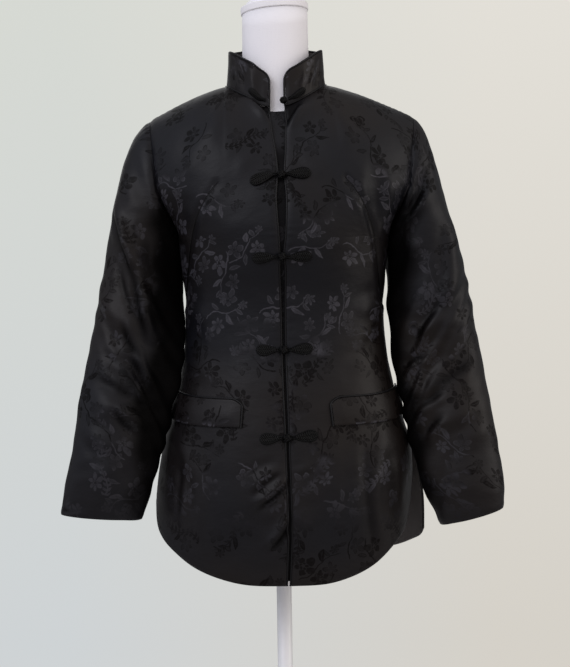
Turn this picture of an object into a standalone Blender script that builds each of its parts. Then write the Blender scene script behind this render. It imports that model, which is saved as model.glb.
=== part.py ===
"""Padded satin tang jacket, worn open at the collar by a limbless dress form on a round-based stand.

The front of the jacket faces -Y, the wearer's left side is +X, and the origin is the middle of the
underside of the stand's base. Every cloth piece is a wall: its outer points come from the garment's
sections and edges, and its inner points lie one wall thickness further in.
"""
import math
from collections import namedtuple

import bmesh
import bpy
from mathutils import Matrix, Vector

# Cloth and seams
WALL = 0.004  # wadded satin, face to lining
COLLAR_WALL = 0.003
UNDERLAP_WALL = 0.002
SEAM_GAP = 0.0003
MERGE = 0.00005
PIPING_RADIUS = 0.0015
PIPING_REACH = PIPING_RADIUS + SEAM_GAP  # from a cloth edge to the middle of its piping
PIPING_SIDES = 6
FRONT_PIPING_DROP = 0.002  # its upper end stops this far under the neck seam

# Heights where the body panels change from one stretch to the next
VENT_Z = 0.876
UNDERARM_Z = 1.172
CHEST_Z = 1.250
VENT_ROWS = 4
SIDE_ROWS = 11
ARMHOLE_ROWS = 4
YOKE_ROWS = 6
NECK_COLUMNS = 5
SHOULDER_COLUMNS = 7
NECK_SHARE = 0.38  # share of a panel's quarter turn that ends on the neck curve
BODY_DRIFT = 0.0075  # the jacket hangs this far to the wearer's left of the stand's axis

# Neck and shoulders
NECK_HALF_WIDTH = 0.074
NECK_SIDE_Y = 0.005
NECK_SIDE_Z = 1.4025
NECK_FRONT_DEPTH = 0.070
NECK_FRONT_Z = 1.3635
NECK_BACK_DEPTH = 0.064
NECK_BACK_Z = 1.412
SHOULDER_X = 0.195
SHOULDER_Y = 0.012
SHOULDER_Z = 1.355
SHOULDER_CROWN = 0.004
YOKE_ROUNDNESS_FRONT = 0.30
YOKE_ROUNDNESS_BACK = 0.55
VENT_TURN = math.radians(5.0)  # how far each vent edge stands back from the side line at the hem

# Body sections, by height
Section = namedtuple("Section", "z half_width front back square")
SECTIONS = (
    Section(0.680, 0.197, 0.128, 0.130, 2.3),
    Section(0.800, 0.192, 0.134, 0.130, 2.3),
    Section(0.867, 0.184, 0.132, 0.124, 2.3),
    Section(0.923, 0.168, 0.126, 0.112, 2.3),
    Section(0.967, 0.157, 0.119, 0.101, 2.25),
    Section(1.012, 0.149, 0.113, 0.093, 2.2),
    Section(1.086, 0.146, 0.114, 0.092, 2.2),
    Section(1.145, 0.151, 0.124, 0.101, 2.2),
    Section(1.186, 0.160, 0.128, 0.109, 2.3),
    Section(1.217, 0.178, 0.126, 0.113, 2.3),
    Section(1.250, 0.200, 0.120, 0.114, 2.3),
    Section(1.300, 0.210, 0.106, 0.108, 2.3),
)

# Armhole edges, by height
Armhole = namedtuple("Armhole", "z front_x back_x")
ARMHOLE = (
    Armhole(1.172, 0.1555, 0.1555),
    Armhole(1.186, 0.1560, 0.1570),
    Armhole(1.217, 0.1680, 0.1720),
    Armhole(1.250, 0.1810, 0.1860),
)

# What each quarter of the skirt adds to its half width below the side vents
Flare = namedtuple("Flare", "z right_front left_front right_back left_back")
FLARES = (
    Flare(0.740, 0.001, -0.020, -0.006, 0.010),
    Flare(0.790, 0.001, -0.012, -0.004, 0.012),
    Flare(0.840, 0.000, -0.004, -0.002, 0.008),
    Flare(0.876, 0.000, 0.000, 0.000, 0.000),
)

# Hem heights round each quarter, from the centre (0) to the side (1)
Hem = namedtuple("Hem", "share front back")
HEMS = (
    Hem(0.00, 0.6905, 0.684),
    Hem(0.20, 0.6920, 0.686),
    Hem(0.35, 0.7000, 0.690),
    Hem(0.50, 0.7130, 0.697),
    Hem(0.65, 0.7310, 0.706),
    Hem(0.80, 0.7480, 0.719),
    Hem(0.92, 0.7650, 0.730),
    Hem(1.00, 0.7900, 0.743),
)

# Middles of the two front pipings, by height; negative is the wearer's right
Opening = namedtuple("Opening", "z right left")
OPENING = (
    Opening(0.684, 0.0040, 0.0085),
    Opening(0.765, 0.0075, 0.0120),
    Opening(0.896, 0.0055, 0.0100),
    Opening(0.950, 0.0040, 0.0088),
    Opening(1.017, 0.0025, 0.0075),
    Opening(1.080, 0.0020, 0.0080),
    Opening(1.128, 0.0012, 0.0090),
    Opening(1.148, 0.0020, 0.0070),
    Opening(1.176, 0.0008, 0.0100),
    Opening(1.231, -0.0020, 0.0120),
    Opening(1.262, 0.0005, 0.0095),
    Opening(1.296, -0.0020, 0.0115),
    Opening(1.330, -0.0070, 0.0120),
    Opening(1.412, -0.0125, 0.0125),
)

# Sleeve sections: outer and inner edge seen from the front, then the middle and half depth
Sleeve = namedtuple("Sleeve", "share outer_x outer_z inner_x inner_z middle_y half_depth")
SLEEVE_RIGHT = (
    Sleeve(0.00, 0.1875, 1.355, 0.1470, 1.172, 0.000, 0.056),
    Sleeve(0.07, 0.2090, 1.327, 0.1480, 1.160, 0.000, 0.062),
    Sleeve(0.18, 0.2300, 1.272, 0.1490, 1.143, -0.003, 0.062),
    Sleeve(0.29, 0.2450, 1.205, 0.1490, 1.118, -0.008, 0.058),
    Sleeve(0.40, 0.2580, 1.135, 0.1455, 1.085, -0.013, 0.054),
    Sleeve(0.51, 0.2680, 1.070, 0.1430, 1.045, -0.022, 0.050),
    Sleeve(0.62, 0.2790, 1.005, 0.1460, 0.995, -0.035, 0.047),
    Sleeve(0.72, 0.2890, 0.945, 0.1530, 0.942, -0.054, 0.044),
    Sleeve(0.83, 0.2990, 0.880, 0.1660, 0.885, -0.064, 0.040),
    Sleeve(0.93, 0.3100, 0.825, 0.1860, 0.822, -0.068, 0.036),
    Sleeve(1.00, 0.3170, 0.787, 0.1990, 0.777, -0.070, 0.031),
)
SLEEVE_LEFT = (
    Sleeve(0.00, 0.2025, 1.355, 0.1620, 1.172, 0.000, 0.056),
    Sleeve(0.07, 0.2180, 1.329, 0.1630, 1.160, 0.000, 0.062),
    Sleeve(0.18, 0.2380, 1.262, 0.1640, 1.143, -0.003, 0.062),
    Sleeve(0.29, 0.2560, 1.195, 0.1635, 1.118, -0.008, 0.058),
    Sleeve(0.40, 0.2710, 1.130, 0.1605, 1.085, -0.013, 0.054),
    Sleeve(0.51, 0.2830, 1.065, 0.1605, 1.045, -0.019, 0.050),
    Sleeve(0.62, 0.2940, 0.995, 0.1640, 0.992, -0.026, 0.047),
    Sleeve(0.72, 0.3010, 0.935, 0.1730, 0.938, -0.044, 0.044),
    Sleeve(0.83, 0.3100, 0.875, 0.1850, 0.878, -0.052, 0.040),
    Sleeve(0.93, 0.3170, 0.820, 0.2010, 0.815, -0.061, 0.036),
    Sleeve(1.00, 0.3160, 0.786, 0.2240, 0.762, -0.065, 0.031),
)
SLEEVE_RINGS = 19
SLEEVE_SQUARE = 2.2
ARMHOLE_GAP = 0.0006
ARMHOLE_FADE = 0.22  # share of the sleeve over which the armhole's shape dies out

# Largest folds: a line seen from the front (or the back), its spread and its height along the normal
Fold = namedtuple("Fold", "piece face start_x start_z end_x end_z spread height")
FOLDS = (
    Fold("front_right", "front", -0.062, 1.386, -0.014, 1.340, 0.011, 0.006),
    Fold("front_left", "front", 0.062, 1.384, 0.017, 1.330, 0.011, 0.006),
    Fold("front_right", "front", 0.004, 0.838, -0.045, 0.800, 0.012, 0.004),
    Fold("front_right", "front", 0.006, 0.790, -0.018, 0.745, 0.012, 0.004),
    Fold("front_right", "front", -0.150, 1.240, -0.118, 1.150, 0.014, -0.005),
    Fold("front_left", "front", 0.150, 1.240, 0.118, 1.150, 0.014, -0.004),
    Fold("sleeve_right", "front", -0.236, 1.225, -0.196, 1.110, 0.012, 0.007),
    Fold("sleeve_right", "front", -0.196, 1.110, -0.182, 1.040, 0.012, 0.006),
    Fold("sleeve_right", "front", -0.248, 1.190, -0.214, 1.080, 0.010, -0.006),
    Fold("sleeve_right", "front", -0.240, 1.010, -0.185, 0.980, 0.012, -0.005),
    Fold("sleeve_right", "front", -0.265, 0.950, -0.200, 0.925, 0.012, 0.004),
    Fold("sleeve_left", "front", 0.252, 1.185, 0.242, 1.065, 0.012, 0.006),
    Fold("sleeve_left", "front", 0.215, 1.270, 0.190, 1.220, 0.011, -0.006),
    Fold("sleeve_left", "front", 0.270, 1.020, 0.205, 0.975, 0.012, -0.005),
    Fold("sleeve_left", "front", 0.275, 0.930, 0.215, 0.905, 0.012, 0.004),
    Fold("back", "back", -0.150, 1.230, -0.085, 1.120, 0.016, 0.005),
    Fold("back", "back", 0.150, 1.230, 0.085, 1.120, 0.016, 0.005),
    Fold("back", "back", -0.110, 1.045, -0.030, 1.030, 0.014, 0.004),
    Fold("back", "back", 0.110, 1.045, 0.030, 1.030, 0.014, 0.004),
)

# Stand collar
COLLAR_HEIGHT_FRONT = 0.049
COLLAR_HEIGHT_SIDE = 0.052
COLLAR_HEIGHT_BACK = 0.057
COLLAR_CORNER = 0.013  # radius of the rounded front corners
COLLAR_LEAN = 0.0035  # how much the top is pulled in towards the neck
COLLAR_BOW = 0.0015  # how much its middle is hollowed
COLLAR_SEAT = 0.0005  # gap over the neck seam
COLLAR_ROWS = 4
NECK_PIPING_RISE_FRONT = 0.0014
NECK_PIPING_RISE_SIDE = 0.0026

# Pocket welts
WELT_END_X = 0.063  # front end, from the middle of the jacket
WELT_WALL = 0.0035
WELT_LIFT = 0.0006
WELT_PUFF = 0.0015
WELT_CORNER_SHARE = 0.10  # share of its length that the rounded corner takes
WELT_CORNER_DROP = 0.008
WELT_ROWS = 3
WELT_STOP = 0.5  # panel columns left free before the side seam
Welt = namedtuple("Welt", "share bottom_z top_z")
WELT_EDGES = (
    Welt(0.0, 0.9100, 0.9480),
    Welt(0.5, 0.9120, 0.9500),
    Welt(1.0, 0.9210, 0.9580),
)

# Underlap behind the opening
UNDERLAP_RIGHT_X = -0.022
UNDERLAP_LEFT_X = 0.034
UNDERLAP_LIFT = 0.0008
UNDERLAP_TOP_LIFT = 0.0030
UNDERLAP_TOP_DROP = 0.006
UNDERLAP_HEM_RISE = 0.006

# Frogs: two flat plaited halves and a knot over the opening
Frog = namedtuple("Frog", "name z right_tip left_tip right_droop left_droop")
FROGS = (
    Frog("chest", 1.2606, -0.0367, 0.0453, -0.011, 0.002),
    Frog("bust", 1.1457, -0.0356, 0.0448, -0.001, 0.001),
    Frog("waist", 1.0165, -0.0320, 0.0440, 0.000, 0.002),
    Frog("hip", 0.8959, -0.0290, 0.0490, -0.002, 0.003),
)
FROG_THICK = 0.0042
FROG_LIFT = 0.0007
FROG_KNOT_RADIUS = 0.0055
# Share of a half's length from its knot, then half width
FROG_PROFILE = ((0.0, 0.0018), (0.16, 0.0022), (0.36, 0.0052), (0.62, 0.0074), (0.84, 0.0066), (0.96, 0.0036))
COLLAR_FROG_LENGTH = 0.032
COLLAR_FROG_RISE = 0.0085  # middle of its halves above the neck seam
COLLAR_FROG_START = 0.0035  # from the collar's front edge
COLLAR_FROG_SCALE = 0.72
COLLAR_KNOT_SCALE = 0.85
COLLAR_KNOT_OFFSET = (-0.0035, -0.0052, -0.001)

# Dress form and stand
FORM_BOTTOM_Z = 0.780
FormEase = namedtuple("FormEase", "z ease")
FORM_EASE = (
    FormEase(0.78, 0.020),
    FormEase(0.90, 0.016),
    FormEase(1.05, 0.014),
    FormEase(1.18, 0.0110),
    FormEase(1.30, 0.0120),
    FormEase(1.36, 0.0130),
    FormEase(1.42, 0.0130),
)
FORM_SHOULDER_EASE = 0.0058  # the cloth rests here
FORM_NECK_RADIUS = 0.049
# Rise over the shoulders, then share of the way in to the neck's radius
FORM_NECK_STEPS = ((0.003, 0.40), (0.010, 0.75), (0.024, 0.92), (0.050, 0.98), (0.100, 1.0))
FORM_NECK_TOP_Z = 1.510
FORM_NECK_Y = 0.001
CAP_RADIUS = 0.0500
CAP_LIP = 0.011
CAP_STEP_RADIUS = 0.0410
CAP_STEP = 0.007
CAP_TILT = math.radians(4.0)
POLE_RADIUS = 0.011
BASE_RADIUS = 0.160
BASE_THICK = 0.010
BASE_EDGE = 0.003


def sample(rows, position):
    """Smoothly interpolated row of a table at a position in its first column."""
    keys = [row[0] for row in rows]
    position = min(max(position, keys[0]), keys[-1])
    last = len(rows) - 1
    low = max(k for k in range(last) if keys[k] <= position)
    high = low + 1
    span = keys[high] - keys[low]
    t = (position - keys[low]) / span

    def slope(k, column):
        before = max(k - 1, 0)
        after = min(k + 1, last)
        return (rows[after][column] - rows[before][column]) / (keys[after] - keys[before])

    values = []
    for column in range(1, len(rows[0])):
        start = rows[low][column]
        end = rows[high][column]
        pull_start = slope(low, column) * span
        pull_end = slope(high, column) * span
        values.append(
            (2 * t**3 - 3 * t**2 + 1) * start
            + (t**3 - 2 * t**2 + t) * pull_start
            + (3 * t**2 - 2 * t**3) * end
            + (t**3 - t**2) * pull_end
        )
    return type(rows[0])(position, *values)


def smooth_step(low, high, value):
    t = min(max((value - low) / (high - low), 0.0), 1.0)
    return t * t * (3 - 2 * t)


def mix(a, b, t):
    return a + (b - a) * t


# ---------------------------------------------------------------- body surface

def quarter_section(z, share, side, back, hang=BODY_DRIFT):
    """Point of the body at one height; share 0 is the centre line and 1 the side or armhole."""
    row = sample(SECTIONS, z)
    half_width = row.half_width
    if z < VENT_Z:
        flare = sample(FLARES, max(z, FLARES[0].z))
        name = ("left_" if side > 0 else "right_") + ("back" if back else "front")
        half_width += getattr(flare, name)
        end_turn = math.pi / 2 - VENT_TURN * smooth_step(VENT_Z, VENT_Z - 0.10, z)
    elif z <= UNDERARM_Z:
        end_turn = math.pi / 2
    else:
        armhole = sample(ARMHOLE, z)
        edge_x = armhole.back_x if back else armhole.front_x
        end_turn = math.asin(min(edge_x / half_width, 1.0))
    turn = end_turn * share
    depth = row.back if back else -row.front
    reach = math.sin(turn)
    y = depth * max(1 - reach**row.square, 0.0) ** (1 / row.square)
    return Vector((side * half_width * reach + hang, y, z))


def top_edge(share, side, back, hang=BODY_DRIFT):
    """Point of the neck curve (share up to NECK_SHARE) or of the shoulder seam beyond it."""
    if share <= NECK_SHARE:
        turn = share / NECK_SHARE * math.pi / 2
        x = side * NECK_HALF_WIDTH * math.sin(turn)
        if back:
            y = NECK_SIDE_Y + NECK_BACK_DEPTH * math.cos(turn)
            z = mix(NECK_BACK_Z, NECK_SIDE_Z, math.sin(turn) ** 2)
        else:
            y = NECK_SIDE_Y - NECK_FRONT_DEPTH * math.cos(turn)
            z = mix(NECK_FRONT_Z, NECK_SIDE_Z, math.sin(turn) ** 2)
    else:
        along = (share - NECK_SHARE) / (1 - NECK_SHARE)
        x = side * mix(NECK_HALF_WIDTH, SHOULDER_X, along) + hang * along
        y = mix(NECK_SIDE_Y, SHOULDER_Y, along)
        z = mix(NECK_SIDE_Z, SHOULDER_Z, along) + SHOULDER_CROWN * math.sin(math.pi * along)
    return Vector((x, y, z))


def body_point(row, share, side, back, hang=BODY_DRIFT):
    """Point of the jacket's outer face; row counts up from the hem (0) to the top edge."""
    hem = sample(HEMS, share)
    hem_z = hem.back if back else hem.front
    if row <= VENT_ROWS:
        z = mix(hem_z, VENT_Z, row / VENT_ROWS)
        return quarter_section(z, share, side, back, hang)
    row -= VENT_ROWS
    if row <= SIDE_ROWS:
        return quarter_section(mix(VENT_Z, UNDERARM_Z, row / SIDE_ROWS), share, side, back, hang)
    row -= SIDE_ROWS
    if row <= ARMHOLE_ROWS:
        rise = (row / ARMHOLE_ROWS) ** 2
        return quarter_section(mix(UNDERARM_Z, CHEST_Z, rise), share, side, back, hang)
    rise = (row - ARMHOLE_ROWS) / YOKE_ROWS
    low = quarter_section(CHEST_Z, share, side, back, hang)
    high = top_edge(share, side, back, hang)
    centre_roundness = YOKE_ROUNDNESS_BACK if back else YOKE_ROUNDNESS_FRONT
    roundness = mix(centre_roundness, 1.0, smooth_step(0.0, NECK_SHARE * 1.25, share))
    climb = mix(rise, math.sin(rise * math.pi / 2), roundness)
    retreat = mix(rise, 1 - math.cos(rise * math.pi / 2), roundness)
    return Vector((mix(low.x, high.x, climb), mix(low.y, high.y, retreat), mix(low.z, high.z, climb)))


TOP_ROW = VENT_ROWS + SIDE_ROWS + ARMHOLE_ROWS + YOKE_ROWS
UNDERARM_ROW = VENT_ROWS + SIDE_ROWS


def share_at_x(row, x, side):
    """Share of the front quarter where a row of the body passes a given x."""
    low, high = -0.3, 0.5
    for _ in range(30):
        middle = (low + high) / 2
        if side * body_point_signed(row, middle, side).x < side * x:
            low = middle
        else:
            high = middle
    return (low + high) / 2


def body_point_signed(row, share, side):
    """Front body point that also answers for shares a little across the centre line."""
    if share >= 0:
        return body_point(row, share, side, False)
    mirrored = body_point(row, -share, side, False)
    centre = body_point(row, 0.0, side, False)
    return Vector((2 * centre.x - mirrored.x, mirrored.y, mirrored.z))


def column_shares(first):
    """Shares of a half panel's columns, with one exactly on the side of the neck."""
    neck = [mix(first, NECK_SHARE, i / NECK_COLUMNS) for i in range(NECK_COLUMNS)]
    shoulder = [mix(NECK_SHARE, 1.0, i / SHOULDER_COLUMNS) for i in range(SHOULDER_COLUMNS + 1)]
    return neck + shoulder


# ---------------------------------------------------------------- walls

def grid_normals(grid, closed):
    """Unit normals of a grid of points from its neighbours; columns wrap when closed."""
    rows, columns = len(grid), len(grid[0])
    normals = []
    for r in range(rows):
        line = []
        for c in range(columns):
            if closed:
                across = grid[r][(c + 1) % columns] - grid[r][c - 1]
            else:
                across = grid[r][min(c + 1, columns - 1)] - grid[r][max(c - 1, 0)]
            up = grid[min(r + 1, rows - 1)][c] - grid[max(r - 1, 0)][c]
            line.append(across.cross(up).normalized())
        normals.append(line)
    return normals


def fold_height(piece, point, normal):
    """Sum of the folds of a piece at a point, fading where the cloth turns away from their side."""
    total = 0.0
    for fold in FOLDS:
        if fold.piece != piece:
            continue
        facing = normal.y if fold.face == "back" else -normal.y
        if facing <= 0.05:
            continue
        start = Vector((fold.start_x, fold.start_z))
        line = Vector((fold.end_x, fold.end_z)) - start
        offset = Vector((point.x, point.z)) - start
        along = min(max(offset.dot(line) / line.length_squared, 0.0), 1.0)
        distance = (offset - line * along).length
        taper = 0.35 + 0.65 * math.sin(math.pi * along)
        bump = math.exp(-((distance / fold.spread) ** 2) / 2)
        total += fold.height * bump * taper * smooth_step(0.05, 0.45, facing)
    return total


def folded(piece, grid, normals):
    return [
        [p + n * fold_height(piece, p, n) for p, n in zip(line, normal_line)]
        for line, normal_line in zip(grid, normals)
    ]


def inset(grid, normals, depth):
    return [
        [p - n * depth for p, n in zip(line, normal_line)] for line, normal_line in zip(grid, normals)
    ]


def material(name, colour, roughness, metallic=0.0):
    finish = bpy.data.materials.new(name)
    finish.use_nodes = True
    shader = finish.node_tree.nodes["Principled BSDF"]
    shader.inputs["Base Color"].default_value = (*colour, 1.0)
    shader.inputs["Roughness"].default_value = roughness
    shader.inputs["Metallic"].default_value = metallic
    return finish


def add_object(name, mesh_data, finish):
    """Make an object from a bmesh, faces turned outward."""
    bmesh.ops.recalc_face_normals(mesh_data, faces=mesh_data.faces)
    if mesh_data.calc_volume(signed=True) < 0:
        bmesh.ops.reverse_faces(mesh_data, faces=mesh_data.faces)
    mesh = bpy.data.meshes.new(name)
    mesh_data.to_mesh(mesh)
    mesh_data.free()
    mesh.materials.append(finish)
    mesh.shade_smooth()
    mesh.set_sharp_from_angle(angle=math.radians(45))
    thing = bpy.data.objects.new(name, mesh)
    bpy.context.scene.collection.objects.link(thing)
    return thing


def add_wall(name, outer, inner, finish, closed=False):
    """Solid wall between an outer and an inner grid; with closed, its columns join into a tube."""
    rows, columns = len(outer), len(outer[0])
    shape = bmesh.new()
    out = [[shape.verts.new(p) for p in line] for line in outer]
    back = [[shape.verts.new(p) for p in line] for line in inner]
    steps = columns if closed else columns - 1
    for r in range(rows - 1):
        for c in range(steps):
            d = (c + 1) % columns
            shape.faces.new((out[r][c], out[r][d], out[r + 1][d], out[r + 1][c]))
            shape.faces.new((back[r][c], back[r + 1][c], back[r + 1][d], back[r][d]))
    for c in range(steps):
        d = (c + 1) % columns
        shape.faces.new((out[0][c], back[0][c], back[0][d], out[0][d]))
        shape.faces.new((out[-1][c], out[-1][d], back[-1][d], back[-1][c]))
    if not closed:
        for r in range(rows - 1):
            shape.faces.new((out[r][0], out[r + 1][0], back[r + 1][0], back[r][0]))
            shape.faces.new((out[r][-1], back[r][-1], back[r + 1][-1], out[r + 1][-1]))
    return add_object(name, shape, finish)


def add_tube(name, path, frames, radius, finish, sides=PIPING_SIDES):
    """Round tube on a path; frames gives two unit directions across the path at each point."""
    shape = bmesh.new()
    rings = []
    for centre, (across, out) in zip(path, frames):
        ring = []
        for k in range(sides):
            turn = 2 * math.pi * k / sides
            ring.append(shape.verts.new(centre + (across * math.cos(turn) + out * math.sin(turn)) * radius))
        rings.append(ring)
    for low, high in zip(rings, rings[1:]):
        for k in range(sides):
            j = (k + 1) % sides
            shape.faces.new((low[k], low[j], high[j], high[k]))
    shape.faces.new(rings[0][::-1])
    shape.faces.new(rings[-1])
    return add_object(name, shape, finish)


def tube_frames(path, outward):
    """Directions across a path, the second one as near as can be to the outward hints."""
    frames = []
    for i, hint in enumerate(outward):
        along = (path[min(i + 1, len(path) - 1)] - path[max(i - 1, 0)]).normalized()
        out = (hint - along * hint.dot(along)).normalized()
        frames.append((along.cross(out), out))
    return frames


# ---------------------------------------------------------------- body panels

class Panel:
    """A body panel: its outer and inner points, row by row from hem to top edge."""

    def __init__(self, name, grid, side_columns, seam_columns):
        self.name = name
        self.outer = folded(name, grid, grid_normals(grid, False))
        self.normals = grid_normals(self.outer, False)
        self.centre_column = len(grid[0]) - 1 if side_columns == (0,) else 0
        for column in side_columns:
            for row in range(VENT_ROWS, UNDERARM_ROW + 1):
                self.square_normal(row, column)
        for column in seam_columns:
            self.square_normal(TOP_ROW, column)
        self.inner = inset(self.outer, self.normals, WALL)

    def square_normal(self, row, column):
        """Turn a normal along the side or shoulder seam, so that both sides' walls meet flush."""
        normal = self.normals[row][column]
        self.normals[row][column] = Vector((normal.x, 0, normal.z)).normalized()

    def point(self, column, row, lift=0.0):
        """Point between the panel's own points, raised off its face."""
        row = min(max(row, 0.0), len(self.outer) - 1.001)
        column = min(max(column, 0.0), len(self.outer[0]) - 1.001)
        r, c = int(row), int(column)
        fr, fc = row - r, column - c
        spot = mix(
            mix(self.outer[r][c], self.outer[r][c + 1], fc),
            mix(self.outer[r + 1][c], self.outer[r + 1][c + 1], fc),
            fr,
        )
        normal = mix(
            mix(self.normals[r][c], self.normals[r][c + 1], fc),
            mix(self.normals[r + 1][c], self.normals[r + 1][c + 1], fc),
            fr,
        ).normalized()
        return spot + normal * lift

    def row_at(self, column, z):
        low, high = 0.0, len(self.outer) - 1.0
        for _ in range(26):
            middle = (low + high) / 2
            if self.point(column, middle).z < z:
                low = middle
            else:
                high = middle
        return (low + high) / 2

    def column_at(self, row, x):
        low, high = 0.0, len(self.outer[0]) - 1.0
        for _ in range(26):
            middle = (low + high) / 2
            if self.point(middle, row).x < x:
                low = middle
            else:
                high = middle
        return (low + high) / 2

    def place(self, x, z, lift):
        """Point over the panel at a place seen from the front, also just past its centre edge."""
        column = self.centre_column
        for _ in range(4):
            row = self.row_at(column, z)
            column = self.column_at(row, x)
        spot = self.point(column, row, lift)
        edge = self.point(self.centre_column, row)
        past = x < edge.x if self.centre_column == 0 else x > edge.x
        if past:
            spot = Vector((x, spot.y, spot.z))
        return spot


def front_panel(name, side):
    grid = []
    for row in range(TOP_ROW + 1):
        height = body_point(row, 0.02, side, False).z
        opening = sample(OPENING, height)
        if side > 0:
            edge_x = opening.left + PIPING_REACH
        else:
            edge_x = opening.right - PIPING_REACH
        first = share_at_x(row, edge_x, side)
        grid.append([body_point_signed(row, share, side) for share in column_shares(first)])
    for line in grid:
        line[-1] = line[-1] + Vector((0, -SEAM_GAP / 2, 0))
    grid[-1][NECK_COLUMNS:] = [p + Vector((0, -SEAM_GAP, 0)) for p in grid[-1][NECK_COLUMNS:]]
    columns = len(grid[0])
    if side > 0:
        return Panel(name, grid, (columns - 1,), range(NECK_COLUMNS, columns))
    flipped = [line[::-1] for line in grid]
    return Panel(name, flipped, (0,), range(columns - NECK_COLUMNS))


def back_panel():
    grid = []
    shares = column_shares(0.0)
    for row in range(TOP_ROW + 1):
        left = [body_point(row, share, 1, True) for share in shares]
        right = [body_point(row, share, -1, True) for share in shares]
        for half in (left, right):
            half[-1] = half[-1] + Vector((0, SEAM_GAP / 2, 0))
            if row == TOP_ROW:
                half[NECK_COLUMNS:] = [p + Vector((0, SEAM_GAP, 0)) for p in half[NECK_COLUMNS:]]
        grid.append(left[::-1] + right[1:])
    columns = len(grid[0])
    neck = range(columns // 2 - NECK_COLUMNS + 1, columns // 2 + NECK_COLUMNS)
    return Panel("back", grid, (0, columns - 1), [c for c in range(columns) if c not in neck])


# ---------------------------------------------------------------- sleeves

def armhole_loop(front_grid, back_grid, side):
    """Points of an armhole from the shoulder down the front, under the arm and up the back."""
    front_column = -1 if side > 0 else 0
    back_column = 0 if side > 0 else -1
    front_edge = [front_grid[row][front_column] for row in range(UNDERARM_ROW, TOP_ROW + 1)]
    back_edge = [back_grid[row][back_column] for row in range(UNDERARM_ROW, TOP_ROW + 1)]
    shoulder = (front_edge[-1] + back_edge[-1]) / 2
    underarm = (front_edge[0] + back_edge[0]) / 2
    return [shoulder] + front_edge[-2:0:-1] + [underarm] + back_edge[1:-1]


def sleeve_ring(row, side, turns):
    """Section of a sleeve, from its outer edge round by the front."""
    outer = Vector((side * row.outer_x, row.middle_y, row.outer_z))
    inner = Vector((side * row.inner_x, row.middle_y, row.inner_z))
    centre = (outer + inner) / 2
    arm = outer - centre
    ring = []
    for turn in turns:
        cosine = math.cos(turn)
        sine = math.sin(turn)
        along = math.copysign(abs(cosine) ** (2 / SLEEVE_SQUARE), cosine)
        deep = math.copysign(abs(sine) ** (2 / SLEEVE_SQUARE), sine)
        ring.append(centre + arm * along + Vector((0, -row.half_depth * deep, 0)))
    return ring


def sleeve_grid(loop, table, side):
    count = len(loop)
    turns = [2 * math.pi * k / count for k in range(count)]
    first = sleeve_ring(sample(table, 0.0), side, turns)
    slack = [edge - p for edge, p in zip(loop, first)]
    grid = [loop]
    for i in range(1, SLEEVE_RINGS + 1):
        share = (i / SLEEVE_RINGS) ** 1.15
        ring = sleeve_ring(sample(table, share), side, turns)
        keep = 1 - smooth_step(0.0, ARMHOLE_FADE, share)
        grid.append([p + s * keep for p, s in zip(ring, slack)])
    return grid


def outward_normals(tube):
    """Normals of a tube whose rings run down from the shoulder."""
    return [[-n for n in line] for line in grid_normals(tube, True)]


def add_sleeve(name, front, back, table, side, finish):
    step = Vector((side * ARMHOLE_GAP, 0, 0))
    outer_loop = [p + step for p in armhole_loop(front.outer, back.outer, side)]
    seam_normals = armhole_loop(front.normals, back.normals, side)
    grid = sleeve_grid(outer_loop, table, side)
    if side > 0:
        grid = [line[:1] + line[:0:-1] for line in grid]
        seam_normals = seam_normals[:1] + seam_normals[:0:-1]
    outer = folded(name, grid, outward_normals(grid))
    outer[0] = grid[0]
    normals = outward_normals(outer)
    # Where the sleeve rounds away from the seam its wall takes the panel's slant, so they meet flush
    for k, seam_normal in enumerate(seam_normals):
        if side * seam_normal.x < side * normals[0][k].x:
            normals[0][k] = seam_normal.normalized()
    inner = inset(outer, normals, WALL)
    return add_wall(name, outer, inner, finish, closed=True)


# ---------------------------------------------------------------- collar

def neck_line(right, left, back):
    """Neck seam from the wearer's left front edge round the back to the right front edge."""
    top_left = left.outer[-1][: NECK_COLUMNS + 1]
    middle = len(back.outer[-1]) // 2
    top_back = back.outer[-1][middle - NECK_COLUMNS: middle + NECK_COLUMNS + 1]
    top_right = right.outer[-1][-NECK_COLUMNS - 1:]
    return top_left[:-1] + top_back + top_right[1:]


def line_lengths(points):
    lengths = [0.0]
    for a, b in zip(points, points[1:]):
        lengths.append(lengths[-1] + (b - a).length)
    return lengths


def point_along(points, lengths, distance):
    distance = min(max(distance, 0.0), lengths[-1])
    i = min(max(k for k in range(len(lengths)) if lengths[k] <= distance), len(points) - 2)
    return mix(points[i], points[i + 1], (distance - lengths[i]) / (lengths[i + 1] - lengths[i]))


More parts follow.
